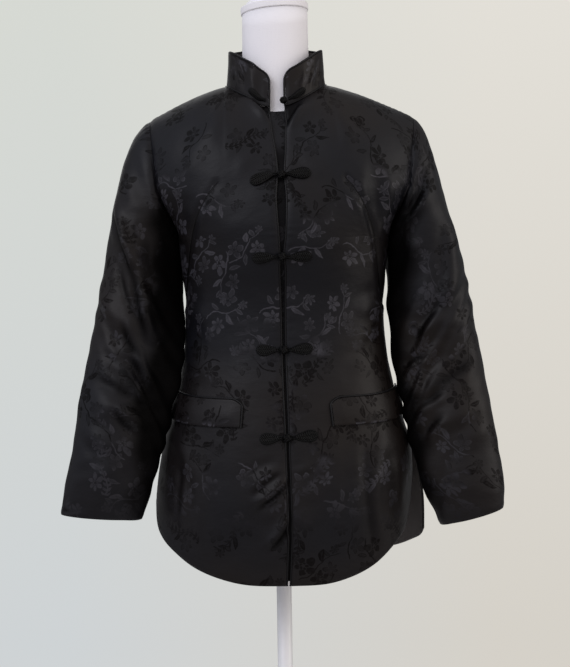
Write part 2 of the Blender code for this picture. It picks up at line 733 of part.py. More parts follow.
class Collar:
    """Stand collar: columns along the neck seam, rows up to a top edge with rounded front corners."""

    def __init__(self, seam):
        lengths = line_lengths(seam)
        total = lengths[-1]
        ends = [COLLAR_CORNER * (1 - math.cos(math.pi / 8 * k)) for k in range(5)]
        stops = [d for d in lengths if ends[-1] < d < total - ends[-1]]
        self.stops = ends + stops + [total - d for d in reversed(ends)]
        self.base = [point_along(seam, lengths, d) + Vector((0, 0, COLLAR_SEAT)) for d in self.stops]
        self.total = total
        self.outer = [
            [self.at(i, row / COLLAR_ROWS) for i in range(len(self.stops))] for row in range(COLLAR_ROWS + 1)
        ]
        self.normals = grid_normals(self.outer, False)

    def height(self, distance):
        near = min(distance, self.total - distance)
        share = near / (self.total / 2)
        full = mix(COLLAR_HEIGHT_FRONT, COLLAR_HEIGHT_SIDE, smooth_step(0.0, 0.5, share))
        full += (COLLAR_HEIGHT_BACK - COLLAR_HEIGHT_SIDE) * smooth_step(0.5, 1.0, share)
        if near < COLLAR_CORNER:
            full -= COLLAR_CORNER - math.sqrt(COLLAR_CORNER**2 - (COLLAR_CORNER - near) ** 2)
        return full

    def inward(self, point):
        return Vector((-point.x, FORM_NECK_Y - point.y, 0)).normalized()

    def at(self, i, share):
        base = self.base[i]
        lean = COLLAR_LEAN * share + COLLAR_BOW * math.sin(math.pi * share)
        return base + self.inward(base) * lean + Vector((0, 0, self.height(self.stops[i]) * share))


def add_collar(collar, finish):
    inner = inset(collar.outer, collar.normals, COLLAR_WALL)
    inner[0] = [Vector((p.x, p.y, q.z)) for p, q in zip(inner[0], collar.outer[0])]
    return add_wall("collar", collar.outer, inner, finish)


def add_collar_piping(collar, finish):
    """Piping up one front edge, along the top and down the other front edge."""
    last = len(collar.stops) - 1
    path = [(row, 0) for row in range(1, COLLAR_ROWS)]
    path += [(COLLAR_ROWS, column) for column in range(last + 1)]
    path += [(row, last) for row in reversed(range(1, COLLAR_ROWS))]
    points, hints = [], []
    for i, (row, column) in enumerate(path):
        before = path[max(i - 1, 0)]
        after = path[min(i + 1, len(path) - 1)]
        spot = collar.outer[row][column]
        normal = collar.normals[row][column]
        along = collar.outer[after[0]][after[1]] - collar.outer[before[0]][before[1]]
        edge_out = normal.cross(along).normalized()
        within = collar.outer[COLLAR_ROWS // 2][min(max(column, 5), last - 5)]
        if edge_out.dot(spot - within) < 0:
            edge_out = -edge_out
        points.append(spot - normal * COLLAR_WALL / 2 + edge_out * (PIPING_REACH + 0.0002))
        hints.append(normal)
    return add_tube("collar_piping", points, tube_frames(points, hints), PIPING_RADIUS, finish)


def add_neck_piping(seam, finish):
    """Piping laid in the corner between the neck seam's panels and the collar."""
    points, hints = [], []
    for i, spot in enumerate(seam):
        outward = Vector((spot.x, spot.y - FORM_NECK_Y, 0)).normalized()
        front = smooth_step(0.3, -0.9, outward.y)
        rise = mix(NECK_PIPING_RISE_SIDE, NECK_PIPING_RISE_FRONT, front)
        points.append(spot + outward * (PIPING_REACH + SEAM_GAP) + Vector((0, 0, rise)))
        hints.append(outward)
    return add_tube("neck_seam_piping", points, tube_frames(points, hints), PIPING_RADIUS, finish)


def add_front_piping(name, panel, side, finish):
    column = panel.centre_column
    points, hints = [], []
    for row in range(len(panel.outer)):
        spot = panel.outer[row][column]
        normal = panel.normals[row][column]
        middle = spot - normal * WALL / 2
        drop = Vector((0, 0, -FRONT_PIPING_DROP)) if row == len(panel.outer) - 1 else Vector()
        points.append(middle + Vector((-side * PIPING_REACH, 0, 0)) + drop)
        hints.append(normal)
    return add_tube(name, points, tube_frames(points, hints), PIPING_RADIUS, finish)


# ---------------------------------------------------------------- what lies on the fronts

def welt_grids(panel, side):
    """Welt points on a front panel: back face, front face, and the line of its free edge."""
    last = len(panel.outer[0]) - 1
    start_z = (WELT_EDGES[0].bottom_z + WELT_EDGES[0].top_z) / 2
    first_row = panel.row_at(abs(panel.centre_column - NECK_COLUMNS), start_z)
    first = panel.column_at(first_row, BODY_DRIFT + side * WELT_END_X)
    end = abs(last - panel.centre_column - WELT_STOP)
    columns = [c for c in range(1, last) if min(first, end) + 0.3 < c < max(first, end) - 0.3]
    stops = [0.0, 0.012, 0.045] + sorted((c - first) / (end - first) for c in columns) + [1.0]
    behind, ahead = [], []
    for k in range(WELT_ROWS + 1):
        height = k / WELT_ROWS
        back_line, front_line = [], []
        for share in stops:
            column = mix(first, end, share)
            edge = sample(WELT_EDGES, share)
            drop = WELT_CORNER_DROP * max(1 - share / WELT_CORNER_SHARE, 0.0) ** 2
            z = mix(edge.bottom_z, edge.top_z - drop, height)
            row = panel.row_at(column, z)
            back_line.append(panel.point(column, row, WELT_LIFT))
            puff = WELT_PUFF * math.sin(math.pi * min(height * 1.1, 1.0))
            front_line.append(panel.point(column, row, WELT_LIFT + WELT_WALL + puff))
        behind.append(back_line)
        ahead.append(front_line)
    return behind, ahead


def add_welt(name, panel, side, finish, piping_finish):
    behind, ahead = welt_grids(panel, side)
    add_wall(name, ahead, behind, finish)
    edge = [(row, 0) for row in range(len(ahead) - 1)]
    edge += [(len(ahead) - 1, column) for column in range(len(ahead[0]))]
    middles = [(ahead[r][c] + behind[r][c]) / 2 for r, c in edge]
    outs = [(ahead[r][c] - behind[r][c]).normalized() for r, c in edge]
    centre = (ahead[1][len(ahead[0]) // 2] + behind[1][len(ahead[0]) // 2]) / 2
    points = []
    for i, spot in enumerate(middles):
        along = (middles[min(i + 1, len(middles) - 1)] - middles[max(i - 1, 0)]).normalized()
        away = along.cross(outs[i]).normalized()
        if away.dot(spot - centre) < 0:
            away = -away
        points.append(spot + away * (PIPING_REACH + 0.0003) + outs[i] * 0.0004)
    points[-1] = mix(points[-2], points[-1], 0.9)
    frames = tube_frames(points, outs)
    return add_tube(name + "_piping", points, frames, PIPING_RADIUS * 0.9, piping_finish)


def add_underlap(finish):
    """Strip behind the opening, hung just inside the fronts."""
    columns = (UNDERLAP_RIGHT_X, (UNDERLAP_RIGHT_X + UNDERLAP_LEFT_X) / 2, UNDERLAP_LEFT_X)

    def line(row):
        sides = [1 if x > BODY_DRIFT else -1 for x in columns]
        return [body_point_signed(row, share_at_x(row, x, side), side) for x, side in zip(columns, sides)]

    grid = [line(row) for row in range(TOP_ROW - 1)]
    top_z = NECK_FRONT_Z - UNDERLAP_TOP_DROP
    steepest = zip(line(TOP_ROW - 1), line(TOP_ROW))
    grid.append([mix(low, high, (top_z - low.z) / (high.z - low.z)) for low, high in steepest])
    grid[0] = [p + Vector((0, 0, UNDERLAP_HEM_RISE)) for p in grid[0]]
    normals = grid_normals(grid, False)
    outer, inner = [], []
    for row, (points, across) in enumerate(zip(grid, normals)):
        depth = WALL + mix(UNDERLAP_LIFT, UNDERLAP_TOP_LIFT, smooth_step(TOP_ROW - 5, TOP_ROW - 1, row))
        outer.append([p - n * depth for p, n in zip(points, across)])
        inner.append([p - n * (depth + UNDERLAP_WALL) for p, n in zip(points, across)])
    return add_wall("underlap", outer, inner, finish)


def add_frog_half(name, place, spine, widths, heights, finish):
    """Flat plaited half of a frog, lofted along its spine in (x, z) and laid on the cloth."""
    sides = 6
    shape = bmesh.new()
    rings = []
    for i, (x, z) in enumerate(spine):
        ahead = spine[min(i + 1, len(spine) - 1)]
        behind = spine[max(i - 1, 0)]
        run = Vector((ahead[0] - behind[0], ahead[1] - behind[1])).normalized()
        across = Vector((-run.y, run.x))
        low, high = heights[i]
        ring = []
        for k in range(sides):
            turn = 2 * math.pi * (k + 0.5) / sides
            aside = widths[i] * math.cos(turn) / math.cos(math.pi / sides)
            lift = mix(low, high, (1 + math.sin(turn)) / 2)
            ring.append(shape.verts.new(place(x + across.x * aside, z + across.y * aside, lift)))
        rings.append(ring)
    for low, high in zip(rings, rings[1:]):
        for k in range(sides):
            j = (k + 1) % sides
            shape.faces.new((low[k], low[j], high[j], high[k]))
    shape.faces.new(rings[0][::-1])
    shape.faces.new(rings[-1])
    return add_object(name, shape, finish)


def frog_half_lists(inner_x, outer_x, z, droop):
    spine, widths, heights = [], [], []
    for share, width in FROG_PROFILE:
        x = mix(inner_x, outer_x, share)
        spine.append((x, z + droop * share**1.5))
        widths.append(width)
        thick = FROG_THICK if width > 0.003 else FROG_THICK * 0.8
        heights.append((FROG_LIFT, FROG_LIFT + thick))
    return spine, widths, heights


def add_knot(name, centre, radius, finish):
    shape = bmesh.new()
    bmesh.ops.create_icosphere(shape, subdivisions=2, radius=radius, matrix=Matrix.Translation(centre))
    return add_object(name, shape, finish)


def add_frog(frog, right, left, finish):
    opening = sample(OPENING, frog.z)
    middle = (opening.right + opening.left) / 2
    knot_y = left.place(middle, frog.z, 0.0).y - FROG_LIFT - FROG_KNOT_RADIUS
    clear = FROG_KNOT_RADIUS + SEAM_GAP
    halves = (
        ("left", left, middle + clear, frog.left_tip, frog.left_droop),
        ("right", right, middle - clear, frog.right_tip, frog.right_droop),
    )
    for side_name, panel, inner_x, tip_x, droop in halves:
        spine, widths, heights = frog_half_lists(inner_x, tip_x, frog.z, droop)
        name = f"frog_{frog.name}_{side_name}"
        add_frog_half(name, panel.place, spine, widths, heights, finish)
    add_knot(f"frog_{frog.name}_knot", Vector((middle, knot_y, frog.z)), FROG_KNOT_RADIUS, finish)


def add_collar_frog(collar, side, finish):
    """Unfastened frog half lying along the foot of the collar."""
    lengths = line_lengths(collar.base)
    total = lengths[-1]

    def place(distance, rise, lift):
        at = distance if side > 0 else total - distance
        i = min(max(k for k in range(len(lengths)) if lengths[k] <= at), len(lengths) - 2)
        fraction = (at - lengths[i]) / (lengths[i + 1] - lengths[i])
        span = mix(collar.height(collar.stops[i]), collar.height(collar.stops[i + 1]), fraction)
        row = min(max(rise / span, 0.0), 1.0) * COLLAR_ROWS
        r = min(int(row), COLLAR_ROWS - 1)
        low = mix(collar.outer[r][i], collar.outer[r][i + 1], fraction)
        high = mix(collar.outer[r + 1][i], collar.outer[r + 1][i + 1], fraction)
        spot = mix(low, high, row - r)
        normal = mix(collar.normals[r][i], collar.normals[r][i + 1], fraction).normalized()
        return spot + normal * lift

    spine, widths, heights = [], [], []
    for share, width in FROG_PROFILE:
        spine.append((mix(COLLAR_FROG_START, COLLAR_FROG_LENGTH, share), COLLAR_FROG_RISE + 0.0015 * share))
        widths.append(width * COLLAR_FROG_SCALE)
        heights.append((FROG_LIFT, FROG_LIFT + FROG_THICK))
    name = "left" if side > 0 else "right"
    add_frog_half(f"frog_collar_{name}", place, spine, widths, heights, finish)
    if side > 0:
        knot = place(0.0, COLLAR_FROG_RISE, 0.0) + Vector(COLLAR_KNOT_OFFSET)
        add_knot("frog_collar_knot", knot, FROG_KNOT_RADIUS * COLLAR_KNOT_SCALE, finish)


# ---------------------------------------------------------------- dress form and stand

def form_point(row, share, side, back):
    """Point of the form's skin under the jacket; it keeps to the stand's own middle."""
    if row <= UNDERARM_ROW:
        z = mix(FORM_BOTTOM_Z, UNDERARM_Z, row / UNDERARM_ROW)
        section = sample(SECTIONS, z)
        depth = section.back if back else -section.front
        reach = math.sin(share * math.pi / 2)
        y = depth * max(1 - reach**section.square, 0.0) ** (1 / section.square)
        skin = Vector((side * section.half_width * reach, y, z))
    else:
        skin = body_point(row, share, side, back, hang=0.0)
    return skin - Vector((side * BODY_DRIFT * share, 0, 0))


def form_quarter(side, back, rows, shares):
    """Grid of the form under one quarter of the jacket, pulled in by the ease."""
    grid = [[form_point(row, share, side, back) for share in shares] for row in rows]
    normals = grid_normals(grid, False)
    turn_out = 1 if (side > 0) != back else -1
    eased = []
    for line, normal_line in zip(grid, normals):
        eased_line = []
        for share, skin, normal in zip(shares, line, normal_line):
            shoulder = smooth_step(1.27, 1.35, skin.z) * smooth_step(0.1, NECK_SHARE, share)
            ease = mix(sample(FORM_EASE, skin.z).ease, FORM_SHOULDER_EASE, shoulder)
            normal = normal * turn_out
            if share == 0.0:
                normal.x = 0
            if share == 1.0 and skin.z <= UNDERARM_Z + MERGE:
                normal.y = 0
            eased_line.append(skin - normal.normalized() * ease)
        eased.append(eased_line)
    for spot in eased[0]:
        spot.z = FORM_BOTTOM_Z
    return eased


def add_form(finish):
    """Torso and neck of the dress form as one closed shape with flat arm plates."""
    neck_steps, shoulder_steps = 5, 6
    shares = [NECK_SHARE * i / neck_steps for i in range(neck_steps)]
    shares += [mix(NECK_SHARE, 1.0, i / shoulder_steps) for i in range(shoulder_steps + 1)]
    rows = [UNDERARM_ROW * i / 9 for i in range(10)]
    rows += [UNDERARM_ROW + ARMHOLE_ROWS * i / 2 for i in (1, 2)]
    rows += [UNDERARM_ROW + ARMHOLE_ROWS + YOKE_ROWS * k for k in (0.2, 0.4, 0.6, 0.8, 0.93)]
    shape = bmesh.new()
    quarters = {}
    for side in (1, -1):
        for back in (False, True):
            grid = form_quarter(side, back, rows, shares)
            quarters[side, back] = [[shape.verts.new(p) for p in line] for line in grid]
    for (side, back), grid in quarters.items():
        for low, high in zip(grid, grid[1:]):
            for k in range(len(shares) - 1):
                shape.faces.new((low[k], low[k + 1], high[k + 1], high[k]))
    for side in (1, -1):
        front, back = quarters[side, False], quarters[side, True]
        for r in range(len(rows) - 1):
            shape.faces.new((front[r][-1], back[r][-1], back[r + 1][-1], front[r + 1][-1]))
        for k in range(neck_steps, len(shares) - 1):
            shape.faces.new((front[-1][k], front[-1][k + 1], back[-1][k + 1], back[-1][k]))
    bottom = quarters[1, False][0] + quarters[1, True][0][::-1]
    bottom += quarters[-1, True][0] + quarters[-1, False][0][::-1]
    shape.faces.new(bottom)
    neck = quarters[1, False][-1][: neck_steps + 1] + quarters[1, True][-1][: neck_steps + 1][::-1]
    neck += quarters[-1, True][-1][: neck_steps + 1] + quarters[-1, False][-1][: neck_steps + 1][::-1]
    add_neck(shape, neck)
    bmesh.ops.remove_doubles(shape, verts=shape.verts, dist=MERGE)
    return add_object("form_torso", shape, finish)


def add_neck(shape, loop):
    """Neck raised from the form's shoulders, round at its slanted top."""
    ring = loop
    for rise, narrowing in FORM_NECK_STEPS:
        next_ring = []
        for vert in loop:
            away = Vector((vert.co.x, vert.co.y - FORM_NECK_Y, 0))
            radius = mix(away.length, FORM_NECK_RADIUS, narrowing)
            place = Vector((0, FORM_NECK_Y, vert.co.z + rise)) + away.normalized() * radius
            if narrowing == 1.0:
                place.z = FORM_NECK_TOP_Z + place.x * math.tan(CAP_TILT)
            next_ring.append(shape.verts.new(place))
        for k in range(len(loop)):
            j = (k + 1) % len(loop)
            shape.faces.new((ring[k], ring[j], next_ring[j], next_ring[k]))
        ring = next_ring
    shape.faces.new(ring)


def add_turned(name, profile, place, finish, segments=32, tilt=0.0):
    """Solid of revolution from (radius, height) pairs, bottom to top, closed on its axis."""
    shape = bmesh.new()
    rings = []
    for radius, height in profile:
        rings.append([
            shape.verts.new((radius * math.cos(turn), radius * math.sin(turn), height))
            for turn in (2 * math.pi * k / segments for k in range(segments))
        ])
    for low, high in zip(rings, rings[1:]):
        for k in range(segments):
            j = (k + 1) % segments
            shape.faces.new((low[k], low[j], high[j], high[k]))
    shape.faces.new(rings[0][::-1])
    shape.faces.new(rings[-1])
    bmesh.ops.rotate(shape, verts=shape.verts, matrix=Matrix.Rotation(-tilt, 3, "Y"))
    bmesh.ops.translate(shape, verts=shape.verts, vec=place)
    return add_object(name, shape, finish)


def add_stand(form_finish, metal):
    cap_profile = (
        (CAP_RADIUS, 0.0),
        (CAP_RADIUS, CAP_LIP - 0.001),
        (CAP_RADIUS - 0.001, CAP_LIP),
        (CAP_STEP_RADIUS, CAP_LIP),
        (CAP_STEP_RADIUS, CAP_LIP + CAP_STEP - 0.001),
        (CAP_STEP_RADIUS - 0.003, CAP_LIP + CAP_STEP),
        (CAP_STEP_RADIUS * 0.5, CAP_LIP + CAP_STEP + 0.0015),
    )
    cap_place = Vector((0, FORM_NECK_Y, FORM_NECK_TOP_Z + SEAM_GAP))
    add_turned("form_neck_cap", cap_profile, cap_place, form_finish, tilt=CAP_TILT)
    pole_length = FORM_BOTTOM_Z - BASE_THICK - 2 * SEAM_GAP
    pole_profile = ((POLE_RADIUS, 0.0), (POLE_RADIUS, pole_length))
    add_turned("stand_pole", pole_profile, Vector((0, 0, BASE_THICK + SEAM_GAP)), metal, segments=20)
    base_profile = (
        (BASE_RADIUS, 0.0),
        (BASE_RADIUS, BASE_THICK - BASE_EDGE),
        (BASE_RADIUS - BASE_EDGE * 0.4, BASE_THICK - BASE_EDGE * 0.4),
        (BASE_RADIUS - BASE_EDGE, BASE_THICK),
    )
    add_turned("stand_base", base_profile, Vector((0, 0, 0)), metal, segments=40)


def build():
    for thing in list(bpy.data.objects):
        bpy.data.objects.remove(thing, do_unlink=True)

    satin = material("black_jacquard_satin", (0.012, 0.012, 0.013), 0.42)
    piping_satin = material("black_piping_satin", (0.010, 0.010, 0.011), 0.35)
    jersey = material("white_form_jersey", (0.80, 0.80, 0.82), 0.75)
    metal = material("white_painted_metal", (0.62, 0.63, 0.63), 0.35)

    right = front_panel("front_right", -1)
    left = front_panel("front_left", 1)
    back = back_panel()
    for panel in (right, left, back):
        add_wall(panel.name, panel.outer, panel.inner, satin)
    add_sleeve("sleeve_right", right, back, SLEEVE_RIGHT, -1, satin)
    add_sleeve("sleeve_left", left, back, SLEEVE_LEFT, 1, satin)

    seam = neck_line(right, left, back)
    collar = Collar(seam)
    add_collar(collar, satin)
    add_collar_piping(collar, piping_satin)
    add_neck_piping(seam, piping_satin)
    add_front_piping("front_piping_right", right, -1, piping_satin)
    add_front_piping("front_piping_left", left, 1, piping_satin)
    add_underlap(satin)
    add_welt("pocket_welt_right", right, -1, satin, piping_satin)
    add_welt("pocket_welt_left", left, 1, satin, piping_satin)
    for frog in FROGS:
        add_frog(frog, right, left, piping_satin)
    add_collar_frog(collar, -1, piping_satin)
    add_collar_frog(collar, 1, piping_satin)

    add_form(jersey)
    add_stand(jersey, metal)


build()
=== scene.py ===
# Black jacquard tang jacket on a white dress form. +X is the wearer's left, the front faces -Y.
import math

import bmesh
import bpy
import numpy as np
from mathutils import Matrix, Vector, noise


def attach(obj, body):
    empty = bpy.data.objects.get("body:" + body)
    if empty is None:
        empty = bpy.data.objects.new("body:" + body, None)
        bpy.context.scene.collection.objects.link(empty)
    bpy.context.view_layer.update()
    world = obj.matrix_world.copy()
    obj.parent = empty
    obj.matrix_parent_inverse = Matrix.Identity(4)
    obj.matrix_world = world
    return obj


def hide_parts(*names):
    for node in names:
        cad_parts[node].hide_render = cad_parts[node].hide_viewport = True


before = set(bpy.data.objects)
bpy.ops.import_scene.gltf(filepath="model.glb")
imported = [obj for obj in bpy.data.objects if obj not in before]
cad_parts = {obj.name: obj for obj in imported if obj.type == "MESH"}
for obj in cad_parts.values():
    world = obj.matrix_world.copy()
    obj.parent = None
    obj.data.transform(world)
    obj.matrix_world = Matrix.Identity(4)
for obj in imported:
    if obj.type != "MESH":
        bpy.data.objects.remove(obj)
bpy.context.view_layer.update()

print("frame loaded:", len(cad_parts), "nodes")


# ---- small helpers

def smooth(low, high, value):
    t = np.clip((value - low) / (high - low), 0.0, 1.0)
    return t * t * (3 - 2 * t)


def mix(a, b, t):
    return a + (b - a) * t


def bell(distance, width):
    return np.exp(-((distance / width) ** 2))


def tableAt(rows, column, place):
    keys = np.array([row[0] for row in rows])
    values = np.array([row[column] for row in rows])
    place = np.clip(place, keys[0], keys[-1])
    low = np.clip(np.searchsorted(keys, place, side="right") - 1, 0, len(keys) - 2)
    before = np.maximum(np.arange(len(keys)) - 1, 0)
    after = np.minimum(np.arange(len(keys)) + 1, len(keys) - 1)
    slope = (values[after] - values[before]) / (keys[after] - keys[before])
    span = keys[low + 1] - keys[low]
    t = (place - keys[low]) / span
    return (
        (2 * t**3 - 3 * t**2 + 1) * values[low]
        + (t**3 - 2 * t**2 + t) * slope[low] * span
        + (3 * t**2 - 2 * t**3) * values[low + 1]
        + (t**3 - t**2) * slope[low + 1] * span
    )


def unit(vectors):
    return vectors / np.maximum(np.linalg.norm(vectors, axis=-1, keepdims=True), 1e-12)


def gridNormals(grid, closed=False):
    if closed:
        across = np.roll(grid, -1, axis=1) - np.roll(grid, 1, axis=1)
    else:
        across = np.gradient(grid, axis=1)
    up = np.gradient(grid, axis=0)
    return unit(np.cross(across, up))


def runs(grid, axis):
    steps = np.linalg.norm(np.diff(grid, axis=axis), axis=-1)
    zero = np.zeros_like(np.take(steps, [0], axis=axis))
    return np.concatenate((zero, np.cumsum(steps, axis=axis)), axis=axis)


def placed(name, data, *finishes):
    for finish in finishes:
        data.materials.append(finish)
    thing = bpy.data.objects.new(name, data)
    bpy.context.scene.collection.objects.link(thing)
    return thing


def shaped(name, shape, *finishes):
    mesh = bpy.data.meshes.new(name)
    shape.to_mesh(mesh)
    shape.free()
    return placed(name, mesh, *finishes)


def smoothShaded(thing):
    thing.data.polygons.foreach_set("use_smooth", [True] * len(thing.data.polygons))
    return thing


# ---- the jacket's shape

bodyShape = {
    "vent": 0.876,
    "underarm": 1.172,
    "chest": 1.250,
    "neckShare": 0.38,  # share of a quarter that ends at the side of the neck
    "hang": 0.0075,  # the jacket's middle, left of the stand
    "wall": 0.0034,
    "ventTurn": math.radians(5),
    "seamGap": 0.0003,
    "pipingReach": 0.0018,
}
bodySections = (  # height, half width, front, back, squareness
    (0.680, 0.197, 0.128, 0.130, 2.3),
    (0.800, 0.192, 0.134, 0.130, 2.3),
    (0.867, 0.184, 0.132, 0.124, 2.3),
    (0.923, 0.168, 0.126, 0.112, 2.3),
    (0.967, 0.157, 0.119, 0.101, 2.25),
    (1.012, 0.149, 0.113, 0.093, 2.2),
    (1.086, 0.146, 0.114, 0.092, 2.2),
    (1.145, 0.151, 0.124, 0.101, 2.2),
    (1.186, 0.160, 0.128, 0.109, 2.3),
    (1.217, 0.178, 0.126, 0.113, 2.3),
    (1.250, 0.200, 0.120, 0.114, 2.3),
    (1.300, 0.210, 0.106, 0.108, 2.3),
)
armholeEdges = (  # height, front x, back x
    (1.172, 0.1555, 0.1555),
    (1.186, 0.1560, 0.1570),
    (1.217, 0.1680, 0.1720),
    (1.250, 0.1810, 0.1860),
)
skirtFlares = (  # height, right front, left front, right back, left back
    (0.740, 0.001, -0.020, -0.006, 0.010),
    (0.790, 0.001, -0.012, -0.004, 0.012),
    (0.840, 0.000, -0.004, -0.002, 0.008),
    (0.876, 0.000, 0.000, 0.000, 0.000),
)
hemHeights = (  # share round the quarter, front, back
    (0.00, 0.6905, 0.684),
    (0.20, 0.6920, 0.686),
    (0.35, 0.7000, 0.690),
    (0.50, 0.7130, 0.697),
    (0.65, 0.7310, 0.706),
    (0.80, 0.7480, 0.719),
    (0.92, 0.7650, 0.730),
    (1.00, 0.7900, 0.743),
)
openingEdges = (  # height, middle of the right piping, middle of the left piping
    (0.684, 0.0040, 0.0085),
    (0.765, 0.0075, 0.0120),
    (0.896, 0.0055, 0.0100),
    (0.950, 0.0040, 0.0088),
    (1.017, 0.0025, 0.0075),
    (1.080, 0.0020, 0.0080),
    (1.128, 0.0012, 0.0090),
    (1.148, 0.0020, 0.0070),
    (1.176, 0.0008, 0.0100),
    (1.231, -0.0020, 0.0120),
    (1.262, 0.0005, 0.0095),
    (1.296, -0.0020, 0.0115),
    (1.330, -0.0070, 0.0120),
    (1.412, -0.0125, 0.0125),
)
neckShape = {
    "halfWidth": 0.074,
    "sideY": 0.005,
    "sideZ": 1.4025,
    "frontDepth": 0.070,
    "frontZ": 1.3635,
    "backDepth": 0.064,
    "backZ": 1.412,
    "shoulderX": 0.195,
    "shoulderY": 0.012,
    "shoulderZ": 1.355,
    "crown": 0.004,
    "roundFront": 0.30,
    "roundBack": 0.55,
}
skirtRows, sideRows, armholeRows, yokeRows = 4, 11, 4, 6  # stretches of the body, hem to shoulder
underarmRow = skirtRows + sideRows
topRow = underarmRow + armholeRows + yokeRows


def quarterSection(z, share, side, back):
    halfWidth = tableAt(bodySections, 1, z)
    flareColumn = {(-1, False): 1, (1, False): 2, (-1, True): 3, (1, True): 4}[side, back]
    halfWidth = halfWidth + np.where(z < bodyShape["vent"], tableAt(skirtFlares, flareColumn, z), 0.0)
    edge = tableAt(armholeEdges, 2 if back else 1, z)
    endTurn = math.pi / 2 - bodyShape["ventTurn"] * smooth(bodyShape["vent"], bodyShape["vent"] - 0.10, z)
    endTurn = np.where(z > bodyShape["underarm"], np.arcsin(np.minimum(edge / halfWidth, 1.0)), endTurn)
    reach = np.sin(endTurn * share)
    depth = tableAt(bodySections, 3, z) if back else -tableAt(bodySections, 2, z)
    square = tableAt(bodySections, 4, z)
    y = depth * np.maximum(1 - np.abs(reach) ** square, 0.0) ** (1 / square)
    return np.stack(np.broadcast_arrays(side * halfWidth * reach + bodyShape["hang"], y, z), axis=-1)


def topEdge(share, side, back):
    n = neckShape
    turn = np.minimum(share / bodyShape["neckShare"], 1.0) * math.pi / 2
    along = np.clip((share - bodyShape["neckShare"]) / (1 - bodyShape["neckShare"]), 0.0, 1.0)
    depth, middleZ = (n["backDepth"], n["backZ"]) if back else (-n["frontDepth"], n["frontZ"])
    x = side * n["halfWidth"] * np.sin(turn)
    x = x + side * (n["shoulderX"] - n["halfWidth"]) * along + bodyShape["hang"] * along
    y = n["sideY"] + depth * np.cos(turn) + (n["shoulderY"] - n["sideY"]) * along
    z = mix(middleZ, n["sideZ"], np.sin(turn) ** 2) + (n["shoulderZ"] - n["sideZ"]) * along
    z = z + n["crown"] * np.sin(math.pi * along)
    return np.stack(np.broadcast_arrays(x, y, z), axis=-1)


def bodyPoints(row, share, side, back):
    row, share = np.broadcast_arrays(np.asarray(row, float), np.asarray(share, float))
    hem = tableAt(hemHeights, 2 if back else 1, np.abs(share))
    z = mix(hem, bodyShape["vent"], np.clip(row / skirtRows, 0, 1))
    climb = np.clip((row - skirtRows) / sideRows, 0, 1)
    z = z + (bodyShape["underarm"] - bodyShape["vent"]) * climb
    climb = np.clip((row - underarmRow) / armholeRows, 0, 1) ** 2
    z = z + (bodyShape["chest"] - bodyShape["underarm"]) * climb
    low = quarterSection(z, share, side, back)
    high = topEdge(share, side, back)
    rise = np.clip((row - underarmRow - armholeRows) / yokeRows, 0, 1)
    middle = neckShape["roundBack"] if back else neckShape["roundFront"]
    roundness = mix(middle, 1.0, smooth(0.0, bodyShape["neckShare"] * 1.25, np.abs(share)))
    up = mix(rise, np.sin(rise * math.pi / 2), roundness)
    retreat = mix(rise, 1 - np.cos(rise * math.pi / 2), roundness)
    blend = np.stack((up, retreat, up), axis=-1)
    return low + (high - low) * blend


def shareAtX(row, x, side):
    low, high = np.full_like(row, -0.3), np.full_like(row, 0.5)
    for _ in range(28):
        middle = (low + high) / 2
        short = side * bodyPoints(row, middle, side, False)[..., 0] < side * x
        low, high = np.where(short, middle, low), np.where(short, high, middle)
    return (low + high) / 2


# ---- folds: large ones first, as in the solids, then the finer creases; lengths in millimetres

mm = 0.001

largeFolds = {  # piece and side seen: start x, start z, end x, end z, spread, height
    ("frontRight", "front"): (
        (-62, 1386, -14, 1340, 11, 6),
        (4, 838, -45, 800, 12, 4),
        (6, 790, -18, 745, 12, 4),
        (-150, 1240, -118, 1150, 14, -5),
    ),
    ("frontLeft", "front"): (
        (62, 1384, 17, 1330, 11, 6),
        (150, 1240, 118, 1150, 14, -4),
    ),
    ("sleeveRight", "front"): (
        (-236, 1225, -196, 1110, 12, 7),
        (-196, 1110, -182, 1040, 12, 6),
        (-248, 1190, -214, 1080, 10, -6),
        (-240, 1010, -185, 980, 12, -5),
        (-265, 950, -200, 925, 12, 4),
    ),
    ("sleeveLeft", "front"): (
        (252, 1185, 242, 1065, 12, 6),
        (215, 1270, 190, 1220, 11, -6),
        (270, 1020, 205, 975, 12, -5),
        (275, 930, 215, 905, 12, 4),
    ),
    ("back", "back"): (
        (-150, 1230, -85, 1120, 16, 5),
        (150, 1230, 85, 1120, 16, 5),
        (-110, 1045, -30, 1030, 14, 4),
        (110, 1045, 30, 1030, 14, 4),
    ),
}
